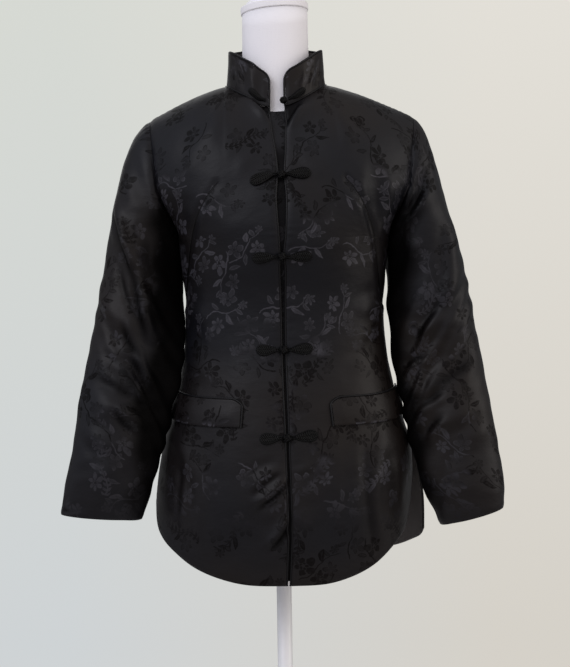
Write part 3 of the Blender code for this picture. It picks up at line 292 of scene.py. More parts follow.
creases = {  # as above, then bow, and the depth of the trough beside it as a share
    ("frontRight", "front"): (
        (-72, 1375, -100, 1300, 9, 2.2, 4, 0.6),
        (-105, 1345, -125, 1260, 10, 2, -4, 0.5),
        (-172, 1270, -128, 1168, 8, 3, 6, 0.8),
        (-158, 1215, -128, 1130, 6, -2.2, 4, 0.3),
        (-20, 1300, -60, 1262, 7, 1.2, 3, 0.4),
        (-135, 1080, -95, 1060, 9, 2, 4, 0.7),
        (-140, 1045, -100, 1020, 8, -1.8, -3, 0.4),
        (-140, 1000, -85, 985, 10, 1.8, 4, 0.5),
        (-150, 905, -110, 830, 11, 2.2, 5, 0.6),
        (-70, 900, -78, 760, 14, 2, -4, 0.4),
        (0, 855, -50, 832, 6, 2, 3, 0.7),
        (2, 820, -30, 780, 6, 1.6, -2, 0.6),
        (-11.5, 1340, -43, 1380, 4.2, 4.6, 1, 1.0),
        (-133, 870, -140, 760, 4.2, 1.4, 2, 0.8),
        (-40, 803, 4, 840, 4.2, 4.8, 3, 1.0),
        (-46, 822, -6, 853, 3.6, 2.6, -2, 0.9),
        (-30, 795, -2, 822, 3.5, 1.8, 1, 0.7),
        (-24, 744, 6, 786, 4.2, 4.4, 3, 0.9),
        (-118, 860, -122, 745, 8, 2, -4, 0.6),
        (-178, 1235, -131, 1120, 5.5, 3.6, 10, 0.9),
    ),
    ("frontLeft", "front"): (
        (80, 1372, 105, 1300, 9, 2, -4, 0.5),
        (135, 1280, 128, 1190, 9, -3, -4, 0.5),
        (160, 1262, 140, 1165, 7, 2.8, -5, 0.7),
        (30, 1295, 70, 1262, 7, 1.2, 3, 0.4),
        (150, 1085, 110, 1062, 9, 2, 4, 0.7),
        (152, 1035, 115, 1020, 8, -1.8, -3, 0.4),
        (145, 995, 95, 982, 10, 1.6, 4, 0.5),
        (152, 900, 128, 820, 10, 2, 5, 0.6),
        (85, 895, 92, 750, 14, 2, 4, 0.4),
        (16, 800, 45, 775, 7, 1.2, 2, 0.5),
        (40, 1366, 16.3, 1326, 4.2, 4.2, 1, 1.0),
        (140, 850, 143, 735, 6, 1.2, 12, 0.3),
        (101, 812, 112, 730, 5.5, 1, 12, 0.3),
        (18, 789, 40, 768, 4, 1.8, 1, 0.7),
        (16, 845, 40, 860, 5, 1.4, 1, 0.6),
        (106, 905, 112, 750, 9, 2.2, 4, 0.7),
        (128, 885, 141, 725, 6.5, 1.7, 4, 0.8),
        (158, 872, 168, 760, 6, 1.6, -4, 0.8),
    ),
    ("sleeveRight", "front"): (
        (-205, 1300, -190, 1225, 9, -3, 3, 0.5),
        (-178, 1180, -160, 1095, 8, 3.2, 4, 0.9),
        (-255, 1095, -205, 1050, 9, 2.6, 5, 0.7),
        (-262, 1045, -165, 1020, 9, -2.8, 5, 0.6),
        (-268, 995, -190, 955, 8, 2.8, -4, 0.8),
        (-245, 965, -165, 925, 8, -2.6, 4, 0.5),
        (-285, 910, -215, 880, 9, 2.2, 4, 0.6),
        (-250, 870, -235, 800, 12, 1.8, 3, 0.4),
        (-234, 1232, -197, 1112, 5, 5.2, 4, 0.9),
        (-200, 1125, -182, 1030, 5, 4.8, 2, 0.9),
        (-222, 1140, -196, 1060, 4.5, 2.6, 3, 0.8),
        (-218, 1060, -192, 1010, 5, 4, 4, 0.9),
        (-206, 1020, -172, 955, 5.5, 4.2, 4, 0.9),
        (-226, 1000, -196, 960, 4.5, 3, -3, 0.8),
        (-232, 948, -196, 905, 5.5, 3.6, 3, 0.8),
    ),
    ("sleeveLeft", "front"): (
        (222, 1300, 212, 1210, 10, 2.6, -4, 0.6),
        (190, 1185, 178, 1100, 8, 3, -4, 0.8),
        (262, 1100, 215, 1060, 9, -2.6, -4, 0.6),
        (265, 1055, 190, 1030, 9, 2.6, 5, 0.7),
        (285, 990, 210, 945, 8, 2.8, -4, 0.8),
        (262, 962, 190, 930, 8, -2.6, 4, 0.5),
        (300, 900, 235, 870, 9, 2.2, 4, 0.6),
        (270, 865, 262, 800, 12, 1.8, 3, 0.4),
        (248, 1215, 236, 1050, 8, 2.6, -6, 0.6),
        (238, 1080, 200, 1010, 5, 3.2, 4, 0.8),
        (218, 1246, 184, 1192, 5, 4.4, -3, 1.0),
        (215, 1000, 182, 975, 5, 3.4, 3, 0.8),
        (240, 950, 198, 918, 5, 3.2, 3, 0.8),
        (236, 915, 206, 880, 5, 2.8, 3, 0.8),
    ),
    ("sleeveRight", "back"): (
        (-215, 1255, -185, 1150, 10, 3, 4, 0.6),
        (-250, 1080, -180, 1050, 10, -2.6, 5, 0.6),
        (-270, 985, -200, 960, 9, 2.6, 4, 0.7),
    ),
    ("sleeveLeft", "back"): (
        (225, 1250, 195, 1140, 10, 3, 4, 0.6),
        (260, 1070, 190, 1045, 10, -2.6, 5, 0.6),
        (280, 980, 210, 950, 9, 2.6, 4, 0.7),
    ),
    ("back", "back"): (
        (-165, 1200, -120, 1110, 9, 3.9, 5, 0.7),
        (165, 1205, 125, 1105, 9, 3.9, -5, 0.7),
        (-130, 1085, -50, 1070, 10, 3.6, 5, 0.6),
        (125, 1075, 45, 1060, 10, 3.6, 5, 0.6),
        (-120, 1000, -40, 1005, 11, -3.3, -5, 0.5),
        (130, 1010, 50, 998, 11, -3.3, -5, 0.5),
        (-172, 1160, -135, 1085, 6, 3, 4, 0.9),
        (172, 1150, 130, 1080, 6, 3, -4, 0.9),
        (-150, 1040, -85, 1030, 6, 2.6, 4, 0.9),
        (150, 1048, 90, 1040, 6, 2.6, 4, 0.9),
        (-60, 1385, -95, 1300, 12, 3, 5, 0.5),
        (60, 1385, 100, 1300, 12, 3, -5, 0.5),
        (-80, 930, -90, 760, 16, 3.6, 6, 0.5),
        (70, 920, 95, 760, 16, 3.6, -6, 0.5),
        (-10, 900, 5, 740, 18, -3, 6, 0.4),
    ),
}


hollows = (  # painted shade in pockets under a fold: piece, then three corners as (x, z)
    ("frontRight", (-42, 1379), (-8, 1340), (-6, 1370)),
    ("frontLeft", (38, 1364), (13, 1370), (15, 1326)),
    ("frontRight", (1, 770), (11, 764), (9, 742)),
)


def hollowShade(piece, points):
    total = np.zeros(points.shape[:-1])
    for name, *corners in hollows:
        if name != piece:
            continue
        corners = [(x * mm, z * mm) for x, z in corners]
        middle = np.mean(corners, axis=0)
        inside = np.full(points.shape[:-1], 1.0)
        for (ax, az), (bx, bz) in zip(corners, corners[1:] + corners[:1]):
            length = math.hypot(bx - ax, bz - az)
            turn = 1 if (bx - ax) * (middle[1] - az) - (bz - az) * (middle[0] - ax) > 0 else -1
            away = ((bx - ax) * (points[..., 2] - az) - (bz - az) * (points[..., 0] - ax)) / length
            inside = np.minimum(inside, away * turn)
        total = np.maximum(total, smooth(-0.0012, 0.0026, inside) * smooth(0.0, -0.02, points[..., 1]))
    return total * 0.8


def alongLine(points, startX, startZ, endX, endZ):
    lineX, lineZ = endX - startX, endZ - startZ
    length = math.hypot(lineX, lineZ)
    offX, offZ = points[..., 0] - startX, points[..., 2] - startZ
    along = (offX * lineX + offZ * lineZ) / length**2
    aside = (offX * lineZ - offZ * lineX) / length
    clipped = np.clip(along, 0, 1)
    distance = np.hypot(offX - lineX * clipped, offZ - lineZ * clipped)
    return along, aside, distance


def foldsOf(table, piece, points, normals):
    for (name, seen), rows in table.items():
        if name != piece:
            continue
        facing = smooth(0.05, 0.45, normals[..., 1] * (1 if seen == "back" else -1))
        for row in rows:
            ends, rest = [value * mm for value in row[:4]], row[4:]
            yield (*alongLine(points, *ends), facing, rest)


def largeRelief(piece, points, normals):
    total = np.zeros(points.shape[:-1])
    for along, _, distance, facing, (spread, height) in foldsOf(largeFolds, piece, points, normals):
        taper = 0.35 + 0.65 * np.sin(math.pi * np.clip(along, 0, 1))
        total += height * mm * np.exp(-((distance / (spread * mm)) ** 2) / 2) * taper * facing
    return total


def creaseRelief(piece, points, normals):
    total = np.zeros(points.shape[:-1])
    # painted shade in the trough beside each sharp crease, passed on as the shade attribute
    paintedFoldShade = np.zeros(points.shape[:-1])  # how deep in a sharp fold's shade
    for along, aside, _, facing, (spread, height, bow, trough) in foldsOf(creases, piece, points, normals):
        aside = (aside - bow * mm * np.sin(math.pi * np.clip(along, 0, 1))) / (spread * mm)
        strength = smooth(-0.10, 0.35, along) * (1 - smooth(0.65, 1.10, along)) * facing
        dip = np.exp(-((aside - 1.9) ** 2) / 1.3)
        total += height * mm * (np.exp(-(aside**2) / 2) - trough * dip) * strength
        if height > 0 and trough > 0.75:
            paintedFoldShade += min(height / 4, 1.0) * np.exp(-((aside - 1.5) ** 2) / 0.9) * strength
    return total, np.clip(paintedFoldShade, 0, 1)


def softness(points, seed, size, stretch=(1, 1, 1)):
    shift = Vector((seed * 3.1, seed * 1.7, seed * 2.3))
    flat = points.reshape(-1, 3)
    scale = Vector((stretch[0] / size, stretch[1] / size, stretch[2] / size))
    values = [noise.noise(Vector(p) * scale + shift) for p in flat]
    return np.array(values).reshape(points.shape[:-1])


# ---- materials: shader maths as plain expressions

class Value:

    def __init__(self, board, socket):
        self.board = board
        self.socket = socket

    def maths(self, operation, *others):
        return self.board.node("ShaderNodeMath", {"operation": operation}, [self, *others]).out(0)

    def __rsub__(self, other):
        return self.board.node("ShaderNodeMath", {"operation": "SUBTRACT"}, [other, self]).out(0)

    def ramp(self, low, high, start=0.0, end=1.0, kind="SMOOTHSTEP"):
        return self.board.node("ShaderNodeMapRange", {"interpolation_type": kind},
                               {"Value": self, "From Min": low, "From Max": high,
                                "To Min": start, "To Max": end}).out("Result")

    def over(self, limit, soft):
        return self.ramp(limit - soft, limit + soft)

    def under(self, limit, soft):
        return self.ramp(limit - soft, limit + soft, 1.0, 0.0)


def mathsMethod(operation):
    return lambda value, *others: value.maths(operation, *others)


for methodName, operation in {
    "__add__": "ADD",
    "__radd__": "ADD",
    "__sub__": "SUBTRACT",
    "__mul__": "MULTIPLY",
    "__rmul__": "MULTIPLY",
    "__truediv__": "DIVIDE",
    "__pow__": "POWER",
    "__abs__": "ABSOLUTE",
    "__mod__": "FLOORED_MODULO",
    "sine": "SINE",
    "cosine": "COSINE",
    "floor": "FLOOR",
    "root": "SQRT",
    "least": "MINIMUM",
    "most": "MAXIMUM",
}.items():
    setattr(Value, methodName, mathsMethod(operation))


class Made:

    def __init__(self, board, node):
        self.board = board
        self.plain = node

    def out(self, name):
        return Value(self.board, self.plain.outputs[name])


class Board:

    def __init__(self, owner):
        owner.use_nodes = True
        self.owner = owner
        self.tree = owner.node_tree
        self.shader = self.tree.nodes.get("Principled BSDF")

    def node(self, kind, settings=None, inputs=None):
        made = self.tree.nodes.new(kind)
        for key, value in (settings or {}).items():
            setattr(made, key, value)
        pairs = inputs.items() if isinstance(inputs, dict) else enumerate(inputs or [])
        for key, value in pairs:
            self.join(value, made.inputs[key])
        return Made(self, made)

    def join(self, value, socket):
        if isinstance(value, Value):
            self.tree.links.new(value.socket, socket)
        else:
            socket.default_value = value

    def uv(self):
        return self.node("ShaderNodeUVMap", {"uv_map": "UVMap"}).out(0)

    def place(self):
        return self.node("ShaderNodeTexCoord").out("Object")

    def split(self, vector):
        made = self.node("ShaderNodeSeparateXYZ", None, [vector])
        return made.out(0), made.out(1), made.out(2)

    def join3(self, x, y, z=0.0):
        return self.node("ShaderNodeCombineXYZ", None, [x, y, z]).out(0)

    def noise(self, vector, scale, detail=2.0, roughness=0.5):
        made = self.node("ShaderNodeTexNoise", None,
                         {"Vector": vector, "Scale": scale, "Detail": detail, "Roughness": roughness})
        return made.out(0)

    def chance(self, vector):
        made = self.node("ShaderNodeTexWhiteNoise", {"noise_dimensions": "3D"}, {"Vector": vector})
        return self.split(made.out("Color"))

    def blendColour(self, factor, a, b):
        made = self.node("ShaderNodeMix", {"data_type": "RGBA"})
        self.join(factor, made.plain.inputs[0])
        for value, socket in ((a, made.plain.inputs[6]), (b, made.plain.inputs[7])):
            self.join(value if isinstance(value, Value) else (*value, 1.0), socket)
        return made.out(2)

    def bump(self, height, distance, strength=1.0, after=None):
        inputs = {"Height": height, "Distance": distance, "Strength": strength}
        if after is not None:
            inputs["Normal"] = after
        return self.node("ShaderNodeBump", None, inputs).out(0)

    def another(self):
        return self.node("ShaderNodeBsdfPrincipled").plain

    def blendShaders(self, factor, a, b):
        made = self.tree.nodes.new("ShaderNodeMixShader")
        self.join(factor, made.inputs[0])
        self.tree.links.new(a.outputs[0], made.inputs[1])
        self.tree.links.new(b.outputs[0], made.inputs[2])
        return made

    def finish(self, shader):
        self.tree.links.new(shader.outputs[0], self.tree.nodes["Material Output"].inputs[0])

    def feed(self, shader, **inputs):
        for name, value in inputs.items():
            if isinstance(value, tuple) and len(value) == 3:
                value = (*value, 1.0)
            self.join(value, shader.inputs[name.replace("_", " ")])


def newFinish(name):
    return Board(bpy.data.materials.new(name))


# ---- the jacquard: ordinary flowers, leaves and butterflies scattered over the satin

jacquard = {
    "size": 1.00,
    "cell": 0.080,
    "jitter": 0.005,
    "betweenFilled": 0.60,
    "flying": 0.86,  # above this, a butterfly takes the cluster's place
    "sway": 0.0150,  # how far motifs are pulled out of true
    "swayScale": 34.0,
    "edge": 0.0006,  # softness of a motif's edge
    "line": 0.0004,
    "rim": 0.0010,
    "stem": 0.00065,
    "flowers": (  # from the cluster's middle: x, y, radius, then how much each of them varies
        (-0.016, 0.008, 0.0122, -0.006, 0.004, 0.0030),
        (0.006, -0.011, 0.0104, 0.008, -0.004, 0.0028),
    ),
    "leaves": (  # x, y, turn and how much it varies, length, width, bend, how filled
        (0.001, 0.004, 0.6, 1.1, 0.0195, 0.0036, 16.0, 1.0),
        (-0.009, -0.006, 3.6, 1.0, 0.0165, 0.0032, -14.0, 0.45),
        (0.017, 0.005, 0.9, 1.2, 0.0140, 0.0028, 10.0, 0.45),
    ),
    "wings": (  # lean, narrowness, reach
        (0.62, 1.55, 0.0135),
        (-0.75, 1.9, 0.0095),
    ),
    "warm": (0.0082, 0.0062, 0.0054),
    "cool": (0.0048, 0.0052, 0.0074),
    # the motifs' shaded copy is coloured from dark and darkWarm, and dark is also the colour of the painted
    # shade; the lit copy's colour below is a painted sheen
    "dark": (0.0016, 0.0014, 0.0014),
    "paintedSheen": (0.0400, 0.0395, 0.0480),
    "darkWarm": (0.0030, 0.0018, 0.0016),
}
satin = {
    "ground": {"rough": 0.44, "specular": 0.20},
    # the motifs' shaded copy, the near-black satin of the painted shade, and the motifs' lit copy with its
    # painted sheen
    "dark": {"rough": 0.50, "specular": 0.075},
    "deep": {"rough": 0.50, "specular": 0.025},
    "paintedSheen": {"rough": 0.40, "specular": 0.30},
}


def turned(x, y, turn):
    c, s = turn.cosine(), turn.sine()
    return x * c + y * s, y * c - x * s


def turnedBy(x, y, degrees):
    c, s = math.cos(math.radians(degrees)), math.sin(math.radians(degrees))
    return x * c + y * s, y * c - x * s


def angleOf(board, x, y):
    return board.node("ShaderNodeMath", {"operation": "ARCTAN2"}, [y, x]).out(0)


def flower(board, x, y, radius, petals, phase=0.0, squash=1.0, fill=1.0):
    soft = jacquard["edge"]
    y = y * squash
    distance = (x * x + y * y).root()
    turn = angleOf(board, x, y)
    outer = abs((turn * (petals / 2) + phase).sine())
    inner = abs((turn * (petals / 2) + (phase + 1.1)).sine())
    uneven = (turn + phase * 5).cosine() * (radius * 0.20) + radius
    inside = (1.0 - outer ** 2.2 * 0.42) * uneven - distance
    body = inside.over(0.0, soft) * (inside.under(jacquard["rim"], soft) * (1 - fill) + fill)
    whorl = radius * 0.42 - inner * (radius * 0.14)
    beyond = (distance - whorl).over(0.0, soft)
    lines = abs(distance - whorl).under(jacquard["line"], soft).most(outer.over(0.955, 0.04) * beyond)
    lines = lines.most(inner.over(0.90, 0.08) * (1 - beyond))
    return body * (1 - lines) * (distance - radius * 0.14).over(0.0, soft)


def bud(board, x, y, radius, fill=0.6):
    soft = jacquard["edge"]
    distance = (x * x + y * y).root()
    turn = angleOf(board, x, y)
    fan = abs((turn * 3.5).sine())
    inside = (1.0 - fan ** 2 * 0.38) * radius * (y / radius + 1.30).least(1.0) - distance
    body = inside.over(0.0, soft) * (inside.under(jacquard["rim"], soft) * (1 - fill) + fill)
    return body * (1 - fan.over(0.92, 0.06) * (distance - radius * 0.25).over(0.0, soft))


def leaf(board, x, y, length, width, fill=1.0):
    soft = jacquard["edge"]
    t = x / length
    swell = (t * (1 - t) * 4).most(0.0)
    inside = swell ** 1.1 * width - abs(y)
    body = inside.over(0.0, soft * 0.8) * t.over(0.0, 0.02) * t.under(1.0, 0.02)
    if fill < 1:
        body = body * (inside.under(jacquard["rim"] * 0.7, soft) * (1 - fill) + fill)
    return body * (1 - abs(y).under(0.0002, soft * 0.6) * t.under(0.8, 0.05))


def cluster(board, x, y, one, two, three, fern):
    y = y * (three.over(0.5, 0.0001) * 2 - 1)
    wave = (x * 88.0 + two).sine() * (one * 0.0045 + 0.0035)
    off = abs(y - wave)
    ends = abs(x + 0.002).under(0.033, 0.0004)
    shape = ((x * 60.0 + 0.9).cosine() * 0.0003 + jacquard["stem"] - off).over(0.0, jacquard["edge"]) * ends
    more = one.over(0.5, 0.0001)
    filled = two.over(0.45, 0.0001) * 0.5 + 0.35
    looks = (  # the two chances that vary it, petals, phase, squash, how filled
        (two, one, more + 5, three * 3.0, 0.95, filled),
        (one, two, 6 - more, two * 3.0, 1.0, 1.2 - filled),
    )
    for place, (first, second, petals, phase, squash, fill) in zip(jacquard["flowers"], looks):
        atX, atY, radius, moveX, moveY, grow = place
        shape = shape.most(flower(board, x - (first * moveX + atX), y - (second * moveY + atY),
                                  first * grow + radius, petals, phase, second * 0.3 + squash, fill))
    shape = shape.most(bud(board, x - 0.0290, y - (three * 0.006 + 0.003), two * 0.002 + 0.0070, 0.5))
    for spin, place in zip((one, two, three), jacquard["leaves"]):
        atX, atY, turn, vary, length, width, bend, fill = place
        lx, ly = turned(x - atX, y - atY, spin * vary + turn)
        shape = shape.most(leaf(board, lx, ly + lx * lx * bend, length, width, fill))
    if fern:
        lx, ly = turnedBy((x + 0.036) % 0.0074, off, 46)
        shape = shape.most(leaf(board, lx, ly, 0.0085, 0.0017) * ends * three.over(0.62, 0.0001))
    return shape


def butterfly(board, x, y):
    soft = jacquard["edge"]
    side = abs(x)
    distance = (x * x + y * y).root()
    angle = angleOf(board, side + 0.0001, y)
    upper, lower = (((angle - lean) * narrow).cosine().most(0.0) ** 0.6 * reach
                    for lean, narrow, reach in jacquard["wings"])
    edge = upper.most(lower)
    wings = (edge - distance).over(0.0, soft)
    spots = abs(distance - edge * 0.68).under(0.0008, soft)
    body = side.under(0.0007, soft) * abs(y).under(0.006, soft)
    return (wings * (1 - spots) * side.over(0.0008, soft)).most(body)


def scattered(board, u, v, cell, seed, jitter):
    row = (v / cell).floor()
    across = u / cell + (row % 2.0) * 0.5
    column = across.floor()
    one, two, three = board.chance(board.join3(column, row, seed))
    x = (across - column - 0.5) * cell - (one - 0.5) * 2 * jitter
    y = (v / cell - row - 0.5) * cell - (two - 0.5) * 2 * jitter
    x, y = turned(x, y, three * (2 * math.pi))
    return x, y, board.chance(board.join3(column + 31.0, row - 17.0, seed))


def motifMask(board, u, v):
    j = jacquard
    u, v = u / j["size"], v / j["size"]
    sway = board.node("ShaderNodeTexNoise", None, {"Vector": board.join3(u, v), "Scale": j["swayScale"],
                                                   "Detail": 3.0, "Roughness": 0.55}).out("Color")
    across, up, _ = board.split(sway)
    u, v = u + (across - 0.5) * j["sway"], v + (up - 0.5) * j["sway"]
    x, y, (one, two, three) = scattered(board, u, v, j["cell"], 3.0, j["jitter"])
    mask = cluster(board, x, y, one, two, three, True)
    half = j["cell"] / 2
    x, y, (one, two, three) = scattered(board, u + half, v + half, j["cell"], 8.0, j["jitter"])
    flying = two.over(j["flying"], 0.0001)
    between = cluster(board, x, y, one, two, three, False) * (1 - flying) + butterfly(board, x, y) * flying
    return mask.most(between * one.under(j["betweenFilled"], 0.0001)).least(1.0)


darts = {  # curved bust darts, as (x, z) from the bust to the side seam
    "frontLeft": {"depth": 0.0028, "line": (
        (0.096, 1.254), (0.111, 1.234), (0.1235, 1.214), (0.1336, 1.184), (0.1405, 1.149), (0.1435, 1.119),
        (0.150, 1.080))},
    "frontRight": {"depth": 0.0016, "line": (
        (-0.084, 1.250), (-0.099, 1.231), (-0.1115, 1.211), (-0.1216, 1.181), (-0.1285, 1.146),
        (-0.1325, 1.116), (-0.139, 1.080))},
}
dartShape = {
    "middle": 1.17,  # height about which the drawn line is fitted
    "drawn": 0.0011,
    "groove": 0.0028,
    "swell": 0.35,
    "swellAt": 0.009,
    "swellWidth": 0.005,
}


def dartLine(board, piece):
    line = np.array(darts[piece]["line"])
    a, b, c, d = (float(k) for k in np.polyfit(line[:, 1] - dartShape["middle"], line[:, 0], 3))
    x, y, z = board.split(board.place())
    h = z - dartShape["middle"]
    off = x - (((h * a + b) * h + c) * h + d)
    ends = z.over(1.092, 0.012) * z.under(float(line[0, 1]), 0.004) * y.under(0.0, 0.01)
    return abs(off).under(dartShape["drawn"], 0.0006) * ends


def jacquardSatin(name, shift=(0.0, 0.0), dartPieces=(), fade=0.0):
    j = jacquard
    board = newFinish(name)
    u, v, _ = board.split(board.uv())
    mask = motifMask(board, u + shift[0], v + shift[1])
    place = board.place()
    _, _, up = board.split(board.node("ShaderNodeNewGeometry").out("Normal"))
    _, _, high = board.split(place)
    patch = board.noise(place, 7.0, 2.0) * 0.30 + board.noise(place, 42.0, 1.0) * 0.16 - 0.23
    # painted light: above 0.8 m, where the surface's normal points less upward, the motifs turn to a lit
    # copy, elsewhere to a shaded dark copy
    lift = (0.055 - up + patch).over(0.0, 0.08) * high.over(0.80, 0.06)
    # the motifs show faintly in random patches
    motifPatchiness = board.noise(place, 55.0, 1.0) * 0.9 + board.noise(place, 210.0, 1.0) * 1.3 - 0.15
    mask = mask * motifPatchiness.least(1.0)
    # on the sleeves the motifs fade out where they are painted lit
    if fade:
        mask = mask * (1 - lift * fade)
    tint = board.noise(place, 4.5, 1.0).over(0.5, 0.16)
    ground = board.blendColour(tint, j["warm"], j["cool"])
    deep = board.blendColour(tint, j["darkWarm"], j["dark"])
    weave = board.noise(board.join3(u * 0.35, v * 2.6), 260.0, 2.0)
    crinkle = board.noise(board.join3(u, v * 1.7), 55.0, 2.0)
    if dartPieces:
        first, second = (dartLine(board, piece) for piece in dartPieces)
        seam = first.most(second)
        crinkle = crinkle - seam * 1.4
        ground = board.blendColour(seam * 0.8, ground, (0.0005, 0.0005, 0.0005))
        mask = mask * (1 - seam)
    normal = board.bump(crinkle, 0.0009, 0.5)
    normal = board.bump(weave, 0.00012, 0.5, normal)
    uneven = (board.noise(place, 24.0, 2.0) - 0.5) * 0.10
    shaders = {}
    for part, colour in (("ground", ground), ("dark", deep), ("paintedSheen", j["paintedSheen"]), ("deep", j["dark"])):
        made = board.shader if part == "ground" else board.another()
        board.feed(made, Base_Color=colour, Roughness=uneven + satin[part]["rough"], Normal=normal,
                   Specular_IOR_Level=satin[part]["specular"])
        shaders[part] = made
    # the motif's shaded or lit copy, chosen by the painted light worked out above
    motif = board.blendShaders(lift, shaders["dark"], shaders["paintedSheen"])
    whole = board.blendShaders(mask, shaders["ground"], motif)
    # painted shade: the shade attribute turns the satin into the near-black deep satin in fold troughs, under
    # folds and where the sleeves lie against the body
    shade = board.node("ShaderNodeAttribute", {"attribute_name": "shade"}).out("Fac")
    board.finish(board.blendShaders(shade * 0.96, whole, shaders["deep"]))
    return board.owner


def liningSatin():
    board = newFinish("blackLining")
    place = board.place()
    # painted light: the lining's colour is raised far above the black satin's, standing in for light that
    # doesn't reach the jacket's inside
    colour = board.blendColour(board.noise(place, 12.0), (0.068, 0.063, 0.061), (0.082, 0.077, 0.075))
    board.feed(board.shader, Base_Color=colour, Roughness=board.noise(place, 40.0) * 0.10 + 0.72,
               Normal=board.bump(board.noise(place, 380.0), 0.0002, 0.4), Specular_IOR_Level=0.05)
    return board.owner


def pipingSatin():
    board = newFinish("blackPipingSatin")
    place = board.place()
    thread = board.noise(place, 420.0, 2.0)
    slow = board.noise(place, 30.0, 2.0)
    colour = board.blendColour(slow, (0.0030, 0.0030, 0.0036), (0.0055, 0.0055, 0.0064))
    board.feed(board.shader, Base_Color=colour, Roughness=board.noise(place, 60.0) * 0.12 + 0.34,
               Normal=board.bump(thread, 0.0002, 0.5), Specular_IOR_Level=0.20)
    return board.owner


def plaitedCord(name, dark, paintedSheen):
    board = newFinish(name)
    along = board.node("ShaderNodeAttribute", {"attribute_name": "alongCord"}).out("Fac")
    around = board.node("ShaderNodeAttribute", {"attribute_name": "roundCord"}).out("Fac")
    strand = (along * 2600.0 + around * (4 * math.pi)).sine() * 0.5 + 0.5
    place = board.place()
    # the strands' crowns take the lighter colour, a painted highlight; the darker colour is the cord's own
    # black
    colour = board.blendColour(strand * 0.7 + board.noise(place, 200.0) * 0.3, dark, paintedSheen)
    board.feed(board.shader, Base_Color=colour, Roughness=board.noise(place, 90.0) * 0.15 + 0.42,
               Normal=board.bump(strand, 0.0004, 0.7), Specular_IOR_Level=0.14)
    return board.owner


def formJersey():
    board = newFinish("whiteJersey")
    place = board.place()
    x, y, z = board.split(place)
    angle = angleOf(board, x, y)
    rib = (angle * 150.0).sine() * 0.5 + (z * 2600.0 + (angle * 75.0).sine()).sine() * 0.5
    speck = board.noise(place, 520.0, 2.0)
    fleck = speck.over(0.68, 0.06)
    colour = board.blendColour(board.noise(place, 40.0), (0.93, 0.93, 0.96), (0.96, 0.96, 0.985))
    colour = board.blendColour(fleck * 0.22, colour, (0.70, 0.70, 0.76))
    board.feed(board.shader, Base_Color=colour, Roughness=board.noise(place, 80.0) * 0.1 + 0.78,
               Normal=board.bump(rib * 0.5 + speck, 0.0003, 0.25), Sheen_Weight=0.1)
    return board.owner


def standPaint():
    board = newFinish("whiteStandPaint")
    place = board.place()
    colour = board.blendColour(board.noise(place, 14.0), (0.89, 0.91, 0.92), (0.94, 0.95, 0.96))
    board.feed(board.shader, Base_Color=colour, Roughness=board.noise(place, 60.0) * 0.10 + 0.30,
               Normal=board.bump(board.noise(place, 600.0), 0.00008, 0.5), Coat_Weight=0.2)
    return board.owner


satinFront = jacquardSatin("blackJacquardFront", (0.0, 0.0), ("frontLeft", "frontRight"))
satinBack = jacquardSatin("blackJacquardBack", (0.37, 0.11))
satinSleeve = jacquardSatin("blackJacquardSleeve", (0.81, 0.53), fade=0.45)
satinTrim = jacquardSatin("blackJacquardTrim", (0.23, 0.71))
liningWithPaintedLight = liningSatin()
pipingFinish = pipingSatin()
cordFinish = plaitedCord("blackCord", (0.0004, 0.0004, 0.0005), (0.0018, 0.0018, 0.0020))
plaitFinish = plaitedCord("blackPlait", (0.0010, 0.0010, 0.0011), (0.0105, 0.0107, 0.0104))
jersey = formJersey()
paint = standPaint()
print("finishes made")


# ---- panels of the body

finish = {
    "seed": {"frontRight": 1, "frontLeft": 2, "back": 3, "sleeveRight": 4, "sleeveLeft": 6},
    "seamDip": 0.0016,  # how far cloth sinks into a seam
    "seamReach": 0.0045,
    "edgeDip": 0.0009,
    "edgeReach": 0.003,
    "puckers": 0.00045,
    "puckerLength": 0.0105,
    "puckerFade": 0.010,
    "wadding": {  # slow unevenness, then ripples: size, upright stretch, height
        "panel": ((0.085, 0.8, 0.0016), (0.030, 1.3, 0.0006)),
        "sleeve": ((0.070, 0.9, 0.00192), (0.026, 1.5, 0.00078)),
    },
}


def fineSteps(stretches):
    steps = [np.linspace(a, b, n, endpoint=False) for a, b, n in stretches]
    return np.concatenate(steps + [np.array([stretches[-1][1]])])


rowSteps = fineSteps((
    (0, skirtRows, 46),
    (skirtRows, underarmRow, 76),
    (underarmRow, underarmRow + armholeRows, 22),
    (underarmRow + armholeRows, topRow, 42),
))
underarmStep = 46 + 76
ventStep = 46
neckSteps, shoulderSteps = 25, 42


def puckers(distance, along):
    f = finish
    wave = np.sin(along * 2 * math.pi / f["puckerLength"] + 2.2 * np.sin(along * 61.0))
    strength = 0.6 + 0.4 * np.sin(along * 37.0 + 1.0)
    fade = np.exp(-distance / f["puckerFade"]) * (1 - bell(distance, f["edgeReach"]))
    return f["puckers"] * 2 * wave * strength * fade


def wadding(name, kind, points):
    total = 0.0
    for k, (size, upright, height) in enumerate(finish["wadding"][kind]):
        total = total + softness(points, finish["seed"][name] + 5 * k, size, (1, 1, upright)) * height
    return total


